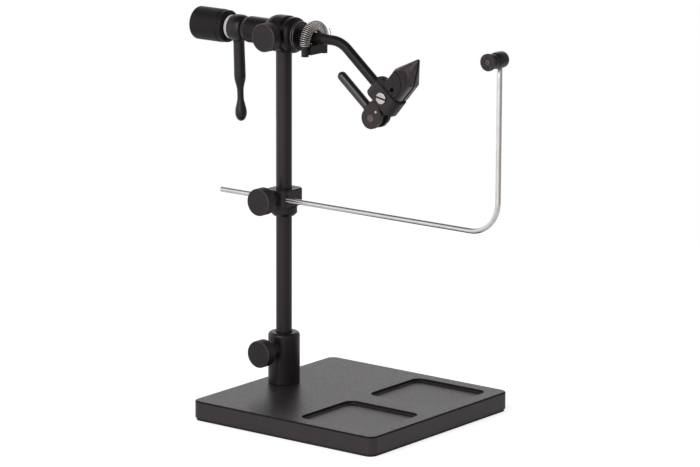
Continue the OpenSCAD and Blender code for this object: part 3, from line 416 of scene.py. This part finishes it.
def rounded(points, steps=6):
    """An outline of (a, b, radius) corners with each corner rounded by its radius, as far as its sides allow."""
    room = 0.49
    out = []
    for i, (a, b, r) in enumerate(points):
        p = Vector((a, b))
        if not r or i in (0, len(points) - 1):
            out.append(p)
            continue
        before, after = Vector(points[i - 1][:2]) - p, Vector(points[i + 1][:2]) - p
        turn = before.angle(after)
        cut = min(r / math.tan(turn / 2), room * before.length, room * after.length)
        r = cut * math.tan(turn / 2)
        mid = p + (before.normalized() + after.normalized()).normalized() * (r / math.sin(turn / 2))
        start, end = p + before.normalized() * cut, p + after.normalized() * cut
        sweep = (start - mid).angle_signed(end - mid)
        first = math.atan2(start.y - mid.y, start.x - mid.x)
        n = max(2, math.ceil(steps * abs(sweep) / (math.pi / 2)))
        out += [mid + r * Vector((math.cos(first - sweep * k / n), math.sin(first - sweep * k / n)))
                for k in range(n + 1)]
    return out


def turned(name, mat, centre, along, profile, rings=RINGS):
    """A lathe piece: profile gives (distance, radius) in mm from centre (metres) in the direction along."""
    along = Vector(along).normalized()
    side = along.orthogonal().normalized()
    up = along.cross(side)
    bm = bmesh.new()
    loops = []
    for dist, radius in profile:
        spot = Vector(centre) + along * dist * MM
        if radius < POINT:
            loops.append([bm.verts.new(spot)])
        else:
            loops.append([bm.verts.new(spot + (side * math.cos(t) + up * math.sin(t)) * radius * MM)
                          for t in (2 * math.pi * k / rings for k in range(rings))])
    for a, b in zip(loops, loops[1:]):
        for k in range(rings):
            j = (k + 1) % rings
            corners = [a[k % len(a)], a[j % len(a)], b[j % len(b)], b[k % len(b)]]
            corners = [v for i, v in enumerate(corners) if v not in corners[:i]]
            if len(corners) > 2:
                bm.faces.new(corners)
    bmesh.ops.recalc_face_normals(bm, faces=bm.faces)
    mesh = bpy.data.meshes.new(name)
    bm.to_mesh(mesh)
    return to_object(name, mesh, mat)


def softened(name, node, mat, mm):
    """A copy of a CAD piece whose sharp edges are rounded by mm."""
    bm = bmesh.new()
    bm.from_mesh(nodes[node].data)
    bmesh.ops.remove_doubles(bm, verts=bm.verts, dist=WELD)
    bmesh.ops.dissolve_limit(bm, angle_limit=FLAT, verts=bm.verts, edges=bm.edges)
    mesh = bpy.data.meshes.new(name)
    bm.to_mesh(mesh)
    piece = to_object(name, mesh, mat)
    bevel = piece.modifiers.new("edges", "BEVEL")
    bevel.width = mm * MM
    bevel.segments = 3
    bevel.limit_method = "ANGLE"
    bevel.angle_limit = SHARP
    bevel.use_clamp_overlap = True
    piece.modifiers.move(len(piece.modifiers) - 1, 0)
    return piece


def tube(name, mat, line, radius, sides=10):
    """A rod along a list of points in metres, of one radius or with a radius for each point."""
    radii = radius if isinstance(radius, list) else [radius] * len(line)
    bm = bmesh.new()
    loops, up = [], None
    for i, p in enumerate(line):
        along = (line[min(i + 1, len(line) - 1)] - line[max(i - 1, 0)]).normalized()
        up = along.orthogonal().normalized() if up is None else (up - along * up.dot(along)).normalized()
        across = along.cross(up)
        loops.append([bm.verts.new(p + (up * math.cos(t) + across * math.sin(t)) * radii[i])
                      for t in (2 * math.pi * k / sides for k in range(sides))])
    for a, b in zip(loops, loops[1:]):
        for k in range(sides):
            bm.faces.new((a[k], a[(k + 1) % sides], b[(k + 1) % sides], b[k]))
    bm.faces.new(loops[0])
    bm.faces.new(loops[-1])
    bmesh.ops.recalc_face_normals(bm, faces=bm.faces)
    mesh = bpy.data.meshes.new(name)
    bm.to_mesh(mesh)
    return to_object(name, mesh, mat)


POST = middle("post")
AXIS_Z = middle("front_collar").z

# Sizes in millimetres, as in the CAD source
POST_R, TUBE_R, BARREL_R = 4.75, 7.9, 11.1
KNOB_R, KNOB_T, NECK_R = 8.15, 6.8, 4.2
DRAG_R = 9.9


def make_knob(name, node, body, radius=KNOB_R, short=0.0):
    """A thumb screw turned in one: its knob is slightly crowned, and ends so many mm short of its CAD face."""
    low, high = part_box(node)
    at = middle(node)
    length = (high[1] - low[1]) / MM - short
    neck = length - KNOB_T
    thread, thread_r, crown, dip = 2, 2.5, 0.1, 0.12
    profile = rounded([
        (0, 0, 0), (0, thread_r, 0), (thread, thread_r, 0.2), (thread, NECK_R, 0.3), (neck, NECK_R, 0.8),
        (neck, radius, 0.55), (length - crown, radius, 0.4), (length, radius - 1.0, 0.5),
        (length - dip, radius - 1.7, 0.5), (length, 0, 0)])
    piece = turned(name, "knob", (at.x, high[1], at.z), (0, -1, 0), profile)
    face_y, glint_from, glint_to = low[1] + (short + 0.3) * MM, radius - 0.42, radius - 0.02

    # painted highlight: the knob's front rim takes the lighter black
    def on_rim(face):
        out = Vector((face.center.x - at.x, face.center.z - at.z)).length / MM
        return face.center.y < face_y and glint_from < out < glint_to

    paint(piece, "edge", on_rim)
    stands_for(piece, body, "black_finish", node)


make_knob("head_knob_turned", "head_thumbscrew", "head_knob", radius=8.4, short=0.9)
make_knob("socket_knob_turned", "socket_thumbscrew", "socket_knob")
make_knob("clamp_knob_turned", "clamp_thumbscrew", "clamp_knob")


def make_drag_knob():
    """The drag knob, with a step near its front and a well rounded shoulder."""
    low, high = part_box("drag_knob")
    length = (high[0] - low[0]) / MM
    step, shoulder, boss_r = length - 5.2, length - 0.5, 6.3
    front_r, face_r = DRAG_R - 0.3, DRAG_R - 3.1
    profile = rounded([
        (0, 0, 0), (0, DRAG_R - 0.4, 2.4), (0.6, DRAG_R, 2.2), (step, DRAG_R, 0.6), (step + 0.6, front_r, 0.6),
        (shoulder, front_r, 3.0), (shoulder, face_r, 0.3), (shoulder - 0.8, face_r - 0.2, 0.3),
        (length, boss_r, 0.2), (length, 0, 0)], steps=10)
    piece = turned("drag_knob_turned", "drag", (low[0], 0, AXIS_Z), (1, 0, 0), profile)
    stands_for(piece, "drag", "black_finish", "drag_knob")


make_drag_knob()


def make_head():
    """Rear tube, an ease up to the barrel, a groove and a step in it, and a rounded nose."""
    low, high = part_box("head_housing")
    length = (high[0] - low[0]) / MM
    tube, tube_ease, rise = 19.7, 3.4, 6.4
    groove, groove_half, groove_deep, step = length - 5.83, 1.5, 1.0, 0.45
    ridge, nose_r, mouth = BARREL_R - step, 2.8, 0.5
    rear = rounded([(0, 0, 0), (0, TUBE_R - 1.3, 0.5), (tube_ease, TUBE_R, 5.0), (tube - 1.2, TUBE_R, 0.6),
                    (tube + 0.4, TUBE_R + 0.5, 0)], steps=12)[:-1]
    ease = [(tube + rise * (1 - math.cos(t)), TUBE_R + (BARREL_R - TUBE_R) * math.sin(t)) for t in quarter(10, 1)]
    dip = []
    for x in (k / 10 for k in range(-10, 11)):
        drop = step if x > 0 else 0
        dip.append((groove + groove_half * x,
                    BARREL_R - drop - (groove_deep - drop) * math.cos(math.pi / 2 * x) ** 2))
    nose = [(length - nose_r * (1 - math.cos(t)), ridge - nose_r * (1 - math.sin(t))) for t in quarter(10)[::-1]]
    rim = [(length, ridge - 3.6), (length - mouth, ridge - 4.0), (length - mouth, 0)]
    profile = [tuple(spot) for spot in rear] + ease + dip + nose + rim
    piece = turned("head_barrel_turned", "barrel", (low[0], 0, AXIS_Z), (1, 0, 0), profile)
    stands_for(piece, "head", "black_finish", "head_housing")


make_head()


def make_front_collar():
    """A sleeve with a bead at each end, the beads painted lighter as a highlight."""
    low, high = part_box("front_collar")
    length, r = (high[0] - low[0]) / MM, (high[2] - low[2]) / 2 / MM
    bead, bead_end, mouth, wear_glint = 0.7, 0.9, 0.5, 0.14
    sleeve = r - 0.35
    profile = rounded([
        (0, 0, 0), (0, r, 0.35), (bead, r, 0.3), (bead_end, sleeve, 0.2), (length - bead_end, sleeve, 0.2),
        (length - bead, r, 0.3), (length, r, 0.35), (length, r - 1.2, 0.3), (length - mouth, r - 1.8, 0.3),
        (length - mouth, 0, 0)])
    piece = turned("front_collar_turned", "gloss", (low[0], 0, AXIS_Z), (1, 0, 0), profile)
    # painted highlight: the beads take the lighter black
    paint(piece, "edge", lambda face: Vector((face.center.y, face.center.z - AXIS_Z)).length > (r - wear_glint) * MM)
    stands_for(piece, "rotor", "black_finish", "front_collar")


make_front_collar()


def make_crank():
    """The hub, and the lever that flares into it and narrows to a waist before its round end."""
    low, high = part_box("crank_hub")
    length, r = (high[0] - low[0]) / MM, (high[2] - low[2]) / 2 / MM
    rear_round, front_round = 0.5, 0.7
    crown = [(length / 2 * (1 + t), r - (0.8 * t * t + 0.9 * t ** 4) * (rear_round if t < 0 else front_round))
             for t in (k / 12 for k in range(-12, 13))]
    hub = turned("crank_hub_turned", "black", (low[0], 0, AXIS_Z), (1, 0, 0), [(0, 0)] + crown + [(length, 0)])
    stands_for(hub, "rotor", "black_finish", "crank_hub")

    lean = math.radians(2)
    along = Vector((math.sin(lean), 0, -math.cos(lean)))
    foot = Vector((middle("crank_hub").x - 1.0 * MM, 0, AXIS_Z))
    root, end, shank, swell, waist, flare_out = 4.5, 56.0, 3.35, 3.5, 1.95, 0.95
    flare_at, flare_long, neck_at, neck_long = 6.6, 2.6, 28.7, 9.3
    bulb_at, bulb_long, tip_long = 41.6, 9.2, 5.2
    smooth = [(1 - math.cos(math.pi * k / 12)) / 2 for k in range(13)]
    profile = [(root, 0), (root, shank + flare_out)]
    profile += [(flare_at + flare_long * t, shank + flare_out * (1 - t) ** 2) for t in shares(6)]
    profile += [(neck_at + neck_long * k / 12, swell + (waist - swell) * smooth[k]) for k in range(13)]
    profile += [(bulb_at + bulb_long * k / 12, waist + (swell - waist) * smooth[k]) for k in range(13)]
    profile += [(end - tip_long + tip_long * math.sin(t), swell * math.cos(t)) for t in quarter(8, 1)]
    lever = turned("crank_lever_turned", "black", foot, along, profile, rings=48)
    stands_for(lever, "rotor", "black_finish", "crank_lever")


make_crank()


def make_washer():
    """The washer stands back a little from the knob and the hub."""
    low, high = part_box("friction_washer")
    length, r, soft = (high[0] - low[0]) / MM, (high[2] - low[2]) / 2 / MM - 0.6, 0.35
    profile = rounded([(0, 0, 0), (0, r, soft), (length, r, soft), (length, 0, 0)])
    piece = turned("washer_turned", "white", (low[0], 0, AXIS_Z), (1, 0, 0), profile)
    stands_for(piece, "rotor", "white_plastic", "friction_washer")


make_washer()


def make_socket():
    """The socket, with a well rounded top edge and a small chamfer round the post."""
    low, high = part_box("socket")
    height, r = (high[2] - low[2]) / MM, (high[0] - low[0]) / 2 / MM
    shoulder, chamfer, deep = 3.4, 0.6, 0.8
    profile = rounded([(0, 0, 0), (0, r, 0.3), (height, r, shoulder), (height, POST_R + chamfer, 0.35),
                       (height - deep, POST_R, 0.2), (height - deep, 0, 0)], steps=8)
    piece = turned("socket_turned", "black", (POST.x, 0, low[2]), (0, 0, 1), profile)
    stands_for(piece, "base", "black_finish", "socket")


make_socket()


def make_stop():
    """The stop collar, with its lower edge bevelled."""
    low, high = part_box("stop_collar")
    height, r, bevel = (high[2] - low[2]) / MM, (high[0] - low[0]) / 2 / MM, 1.6
    profile = rounded([(0, 0, 0), (0, r - bevel, 0.3), (bevel, r, 0.4), (height, r, 0.5), (height, 0, 0)])
    piece = turned("stop_turned", "black", (POST.x, 0, low[2]), (0, 0, 1), profile)
    stands_for(piece, "stop", "black_finish", "stop_collar")


make_stop()


def shade_slot(screw):
    """The inside of a screw's slot gets the dark black as painted shade."""
    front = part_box("jaw_guide_screw")[0][1]
    centre = middle("jaw_guide_screw")
    slot_from, slot_to, slot_r = 0.2 * MM, 1.0 * MM, 3.0 * MM

    def in_slot(face):
        spot = face.center
        out = Vector((spot.x - centre.x, spot.z - centre.z)).length
        return slot_from < spot.y - front < slot_to and out < slot_r

    paint(screw, "dark", in_slot)


GROUND_FROM, SHANK_END = 21.5, 27  # mm up the jaws: where their ground faces start, and are there all round


def shade_jaw(jaw):
    """The ground faces of a jaw: its round flanks are bare, its taper is brown, its flat stays black."""
    flat, rising, shank = 0.985, 0.2, 3

    def ground(face):
        spot = face.center - JAW_PIN
        up, across = spot.dot(UP_JAWS) / MM, spot.dot(DOWN_STEM) / MM
        return abs(face.normal.y) < flat and up > GROUND_FROM and (up > SHANK_END or abs(across) > shank)

    paint(jaw, "cone", lambda face: ground(face) and face.normal.dot(UP_JAWS) > rising)
    paint(jaw, "flank", lambda face: ground(face) and not face.normal.dot(UP_JAWS) > rising)


def square_flank(jaw):
    """Above the collar, the far jaw's front flank is nearly square, so that it shows past the seam."""
    for v in jaw.data.vertices:
        spot = v.co - JAW_PIN
        up, across, y = spot.dot(UP_JAWS), spot.dot(DOWN_STEM), v.co.y
        if up > GROUND_FROM * MM and across > 0 and y > 0:
            t = math.atan2(y, across)
            grow = (math.cos(t) ** 4 + math.sin(t) ** 4) ** -0.25
            v.co = JAW_PIN + UP_JAWS * up + DOWN_STEM * across * grow + Vector((0, y * grow, 0))


def make_softened():
    """Milled and ground parts: the CAD forms with their sharp edges eased by so many mm."""
    for node, body, mat, slot, mm in (
            ("clamp_block", "clamp", "block", "black_finish", 0.45),
            ("jaw_collar", "rotor", "block", "black_finish", 0.45),
            ("cam_head", "cam", "cheek", "black_finish", 0.25),
            ("near_jaw", "jaw_near", "jaw", "dark_steel", 0.12),
            ("far_jaw", "jaw_far", "jaw", "dark_steel", 0.12),
            ("jaw_guide_screw", "rotor", "steel", "bright_steel", 0.18)):
        piece = softened(node + "_eased", node, mat, mm)
        stands_for(piece, body, slot, node)
        if node == "jaw_guide_screw":
            shade_slot(piece)
        if node == "far_jaw":
            square_flank(piece)
        if node in ("near_jaw", "far_jaw"):
            shade_jaw(piece)


make_softened()


def make_stem():
    """The stem: it eases out of the shaft's nose, bends, and runs down into the jaw collar."""
    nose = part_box("rotary_shaft")[1][0]
    bend, r, thick, wide = POST.x + 42.4 * MM, 17 * MM, 2.95 * MM, 3.34 * MM
    centre = Vector((bend - r * math.tan(STEM_DROP / 2), 0, AXIS_Z - r))
    line = [Vector((nose + x * MM, 0, AXIS_Z)) for x in (-1.0, -0.4, 0.4, 1.2, 2.0, 2.8, 3.6, 4.4, 5.2)]
    radii = [wide - 0.3 * MM, wide, wide] + [thick + (wide - thick) * math.cos(t) ** 2 for t in quarter(6, 1)]
    line += [centre + r * Vector((math.sin(STEM_DROP * t), 0, math.cos(STEM_DROP * t))) for t in shares(24)]
    start, end = line[-1], in_jaws(15.7, -6.3)
    line += [start.lerp(end, t) for t in shares(8)[1:]]
    piece = tube("stem_bent", "stem", line, radii + [thick] * (len(line) - len(radii)), sides=48)
    stands_for(piece, "rotor", "black_finish", "stem")


make_stem()


def make_cam_pin():
    """The cam's pin, with a dimple in its end."""
    low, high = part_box("cam_pin")
    length, r, deep = (high[1] - low[1]) / MM, 2.3, 0.25
    profile = rounded([(0, 0, 0), (deep, 1.2, 1.0), (deep, 1.55, 0.2), (0, 1.75, 0.2), (0, r, 0.3),
                       (length, r, 0.3), (length, 0, 0)])
    piece = turned("cam_pin_turned", "pin", (JAW_PIN.x, low[1], JAW_PIN.z), (0, 1, 0), profile, rings=48)
    stands_for(piece, "jaw_draw", "dark_steel", "cam_pin")


make_cam_pin()


def make_cam_lever():
    """The cam's lever: a stub in the cam, a shoulder, and a round end."""
    r, end, stub, stub_end, stub_r = 2.8, 35.0, 4.8, 7.8, 1.75
    nose = [(end - r + r * math.sin(t), r * math.cos(t)) for t in quarter(10)]
    shank = rounded([(stub, 0, 0), (stub, stub_r, 0), (stub_end, stub_r, 0), (stub_end, r, 0.35), (9.4, r, 0)])
    profile = [tuple(spot) for spot in shank] + nose
    piece = turned("cam_lever_turned", "lever", in_jaws(0.8), -DOWN_STEM, profile, rings=48)
    stands_for(piece, "cam", "black_finish", "cam_lever")


make_cam_lever()


def make_rod():
    """The drawn rod with its bend; the sawn end of its tail is dark."""
    low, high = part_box("clip_rod")
    r, bend, edge = (high[1] - low[1]) / 2, 19 * MM, 0.3 * MM
    y, z, x = (low[1] + high[1]) / 2, low[2] + r, high[0] - r
    line = [Vector((low[0], y, z)), Vector((low[0] + edge, y, z))]
    line += [Vector((low[0] + (x - bend - low[0]) * t, y, z)) for t in shares(12)[1:]]
    line += [Vector((x - bend + bend * math.sin(t), y, z + bend - bend * math.cos(t))) for t in quarter(24, 1)]
    line += [Vector((x, y, z + bend + (high[2] - z - bend) * t)) for t in shares(8)[1:]]
    piece = tube("clip_rod_drawn", "rod", line, [r - edge] + [r] * (len(line) - 1), sides=32)
    paint(piece, "dark", lambda face: face.center.x < low[0] + 0.2 * MM)
    stands_for(piece, "rod", "bright_steel", "clip_rod")


make_rod()


def make_clip():
    """Thread clip: domed body with a step, a disc with turned rings, and its screw."""
    low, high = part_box("clip_body")
    at = middle("clip_body")
    r, length = (high[0] - low[0]) / 2 / MM, (high[1] - low[1]) / MM
    step, seat, seat_r = length - 4.6, length - 1.4, 3.5
    drum_r, neck_r = r - 0.25, r - 0.8
    profile = rounded([
        (0, 0, 0), (0, drum_r, 1.9), (step * 0.35, r, 6.0), (step * 0.7, r, 6.0), (step, drum_r, 0.5),
        (step + 0.8, neck_r, 0.3), (seat - 0.8, neck_r, 0.5), (seat, seat_r, 0.3), (length, seat_r, 0.3),
        (length, 0, 0)])
    body = turned("clip_body_turned", "gloss", (at.x, high[1], at.z), (0, -1, 0), profile, rings=64)
    stands_for(body, "clip", "black_finish", "clip_body")

    low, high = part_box("clip_disc")
    r, length = (high[0] - low[0]) / 2 / MM, (high[1] - low[1]) / MM
    groove = length - 0.3
    profile = rounded([
        (0, 0, 0), (0, r, 0.4), (length, r, 0.55), (length, 3.4, 0.1), (groove, 3.2, 0.1), (groove, 2.7, 0.1),
        (length, 2.5, 0.1), (length, 2.0, 0.1), (groove, 1.9, 0.1), (groove, 0, 0)])
    disc = turned("clip_disc_turned", "disc", (at.x, high[1], at.z), (0, -1, 0), profile, rings=64)
    stands_for(disc, "disc", "black_finish", "clip_disc")

    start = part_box("clip_screw")[0][1] + 0.85 * MM
    head, rim, dimple = 1.55, 0.5, 0.45
    profile = rounded([(0, 0, 0), (0, head, 0), (rim, head, 0.3), (rim + 0.25, head - 0.6, 0.5), (0.8, 0.55, 0.05),
                       (dimple, 0.45, 0.05), (dimple, 0, 0)])
    screw = turned("clip_screw_turned", "edge", (at.x, start, at.z), (0, -1, 0), profile, rings=32)
    stands_for(screw, "disc", "bright_steel", "clip_screw")


make_clip()


def rectangle(x0, x1, y0, y1, r, z, steps=10):
    """A rectangle with round corners at height z, from sizes in mm."""
    r = max(r, 0.05)
    corners = (x1 - r, y1 - r, 0), (x0 + r, y1 - r, 1), (x0 + r, y0 + r, 2), (x1 - r, y0 + r, 3)
    return [Vector((x + r * math.cos(t), y + r * math.sin(t), z)) * MM
            for x, y, turn in corners for t in (math.pi / 2 * (turn + k / steps) for k in range(steps + 1))]


def stack(bm, levels):
    """Walls through rectangles, one above the other."""
    loops = [[bm.verts.new(spot) for spot in rectangle(*level)] for level in levels]
    for a, b in zip(loops, loops[1:]):
        n = len(a)
        for k in range(n):
            bm.faces.new((a[k], a[(k + 1) % n], b[(k + 1) % n], b[k]))
    return loops


def make_plate():
    """Square plate with round corners, softly rounded edges and two trays cut with rounded rims."""
    low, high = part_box("base_plate")
    half, floor, top = (high[0] - low[0]) / 2 / MM, low[2] / MM, high[2] / MM
    corner, edge, foot = 5.5, 0.9, 0.25
    deep, margin, land, start, tray_r, lip, fillet = 2.0, 9.3, 8.4, 5.8, 5.6, 0.5, 1.1

    walls = [(foot, floor), (0, floor + foot), (0, top - edge)]
    walls += [(edge * (1 - math.cos(t)), top - edge * (1 - math.sin(t))) for t in quarter(6, 1)]
    bm = bmesh.new()
    body = stack(bm, [(-half + i, half - i, -half + i, half - i, corner - i, z) for i, z in walls])
    bm.faces.new(body[0][::-1])
    loops = [body[-1]]
    far = half - margin
    walls = [(-lip * (1 - math.sin(t)), top - lip * (1 - math.cos(t))) for t in quarter(4)]
    walls += [(fillet * (1 - math.cos(t)), top - deep + fillet * (1 - math.sin(t))) for t in quarter(6)]
    for y0, y1 in ((-far, -land), (land, far)):
        tray = stack(bm, [(start + i, far - i, y0 + i, y1 - i, tray_r - i, z) for i, z in walls])
        bm.faces.new(tray[-1])
        loops.append(tray[0])
    rims = [bm.edges.get((loop[k], loop[(k + 1) % len(loop)])) for loop in loops for k in range(len(loop))]
    bmesh.ops.triangle_fill(bm, use_beauty=True, edges=rims)
    bmesh.ops.recalc_face_normals(bm, faces=bm.faces)
    mesh = bpy.data.meshes.new("plate_coated")
    bm.to_mesh(mesh)
    piece = to_object("plate_coated", mesh, "plate")

    # painted shade: the rounded top edge and the tray walls take the darker lip black
    def dark(face):
        spot, z = face.center, face.center.z / MM
        inside = max(abs(spot.x), abs(spot.y)) < (half - 1) * MM
        return top - edge < z < top - 0.03 or (abs(face.normal.z) < 0.6 and top - deep < z < top and inside)

    paint(piece, "lip", dark)
    stands_for(piece, "base", "black_finish", "base_plate")


make_plate()


def make_spring():
    """The material spring: a close coil bent over the saddle, with the tail of its wire left as a small loop."""
    sunk, arch, leg, turns, coil, wire, per_turn = 1.9, 8.8, 1.6, 32, 3.05, 0.25, 20
    at = Vector((middle("material_spring").x, 0, AXIS_Z - sunk * MM))
    length = math.pi * arch + 2 * leg

    def spot(t):
        s = t * length
        if s < leg:
            return Vector((0, -arch, s - leg)), Vector((0, 0, 1))
        if s > length - leg:
            return Vector((0, arch, length - leg - s)), Vector((0, 0, -1))
        a = math.pi - (s - leg) / arch
        return Vector((0, arch * math.cos(a), arch * math.sin(a))), Vector((0, math.sin(a), -math.cos(a)))

    line = []
    for k in range(turns * per_turn + 1):
        t = k / (turns * per_turn)
        mid, along = spot(t)
        side = Vector((1, 0, 0)).cross(along)
        turn = 2 * math.pi * turns * t
        line.append(at + (mid + coil * (math.cos(turn) * Vector((1, 0, 0)) + math.sin(turn) * side)) * MM)
    last = line[-1]
    bent = last + Vector((0.2, 1.2, -0.1)) * MM
    hook = [at + Vector((1.5 - 0.6 * t, 12.6 + 1.3 * math.sin(math.pi * t), -1.9 + 8.0 * t)) * MM
            for t in shares(8)]
    piece = tube("material_spring_wound", "wire", line, wire * MM)
    tail = tube("material_spring_tail", "wire", [last, bent] + hook, wire * MM * 0.9, sides=8)
    tail.parent = piece
    stands_for(piece, "rotor", "bright_steel", "material_spring")


make_spring()


# Floor, room and lamps
FLOOR_HALF, FLOOR_TONE, FLOOR_SHINE = 0.5, (0.93, 0.93, 0.93, 1), 0.15
WHITE = (1, 1, 1, 1)
DARK_SIDE, DARK_SIDE_LIGHT, CEILING_LIGHT, ROOM_LIGHT = (0.85, 0.5, 0.0), 0.35, 0.06, 0.45
SIDE_FROM, SIDE_FULL, CEILING_FROM, CEILING_FULL = 0.0, 0.75, 0.4, 0.85


def add_floor():
    """A floor that the camera sees white, and gloss a little of; it keeps the object's shadow."""
    mesh = bpy.data.meshes.new("floor")
    s = FLOOR_HALF
    mesh.from_pydata([(-s, -s, 0), (s, -s, 0), (s, s, 0), (-s, s, 0)], [], [(0, 1, 2, 3)])
    floor = bpy.data.objects.new("floor", mesh)
    bpy.context.scene.collection.objects.link(floor)
    m = Mat("floor_white")
    m.set(Base_Color=FLOOR_TONE, Roughness=0.9, Specular_IOR_Level=0.1, Emission_Color=WHITE)
    path = m.node("ShaderNodeLightPath")
    either = m.node("ShaderNodeMath", operation="MULTIPLY_ADD")
    m.link(path.outputs["Is Glossy Ray"], either.inputs[0])
    either.inputs[1].default_value = FLOOR_SHINE
    m.link(path.outputs["Is Camera Ray"], either.inputs[2])
    m.link(m.span(either.outputs[0], 0.0, 0.6, 0.0, 1.0), m.bsdf.inputs["Emission Strength"])
    mesh.materials.append(m.mat)


def add_world():
    """A world that the camera sees white, while gloss sees a room and the rest a dim light."""
    world = bpy.data.worlds.new("studio")
    bpy.context.scene.world = world
    world.use_nodes = True
    nt = world.node_tree
    bg = nt.nodes["Background"]
    bg.inputs["Color"].default_value = WHITE
    path = nt.nodes.new("ShaderNodeLightPath")

    def node(kind, operation=None, **values):
        n = nt.nodes.new(kind)
        if operation:
            n.operation = operation
        for key, value in values.items():
            n.inputs[key.replace("_", " ")].default_value = value
        return n

    # The room: a dark side to the right of the object and a dimmer ceiling, soft at their borders
    way = node("ShaderNodeTexCoord").outputs["Generated"]
    side = node("ShaderNodeVectorMath", "DOT_PRODUCT")
    side.inputs[1].default_value = Vector(DARK_SIDE).normalized()
    nt.links.new(way, side.inputs[0])
    apart = node("ShaderNodeSeparateXYZ")
    nt.links.new(way, apart.inputs[0])
    room = []
    for value, start, end, low in (
            (side.outputs["Value"], SIDE_FROM, SIDE_FULL, DARK_SIDE_LIGHT),
            (apart.outputs["Z"], CEILING_FROM, CEILING_FULL, CEILING_LIGHT)):
        fall = node("ShaderNodeMapRange", From_Min=start, From_Max=end, To_Min=1.0, To_Max=low)
        fall.interpolation_type = "SMOOTHSTEP"
        nt.links.new(value, fall.inputs["Value"])
        room.append(fall.outputs["Result"])
    both = node("ShaderNodeMath", "MULTIPLY")
    nt.links.new(room[0], both.inputs[0])
    nt.links.new(room[1], both.inputs[1])
    lit = node("ShaderNodeMapRange", To_Min=ROOM_LIGHT)
    nt.links.new(path.outputs["Is Glossy Ray"], lit.inputs["Value"])
    nt.links.new(both.outputs[0], lit.inputs["To Max"])
    strength = node("ShaderNodeMapRange", To_Max=1.0)
    nt.links.new(path.outputs["Is Camera Ray"], strength.inputs["Value"])
    nt.links.new(lit.outputs[0], strength.inputs["To Min"])
    nt.links.new(strength.outputs["Result"], bg.inputs["Strength"])


def add_lamp(name, place, aim, size, power):
    """A rectangular lamp of so many watts, aimed at a point."""
    data = bpy.data.lights.new(name, "AREA")
    data.shape = "RECTANGLE"
    data.size, data.size_y = size
    data.energy = power
    lamp = bpy.data.objects.new(name, data)
    bpy.context.scene.collection.objects.link(lamp)
    lamp.location = place
    lamp.rotation_euler = (Vector(aim) - Vector(place)).to_track_quat("-Z", "Y").to_euler()


add_floor()
add_world()
add_lamp("key", place=(0.0, -1.75, 1.5), aim=(0, 0, 0.1), size=(1.0, 1.3), power=9)
add_lamp("window", place=(0.1, -2.1, 0.5), aim=(0, 0, 0.15), size=(0.8, 0.9), power=4)

bpy.context.scene.view_settings.view_transform = "Standard"
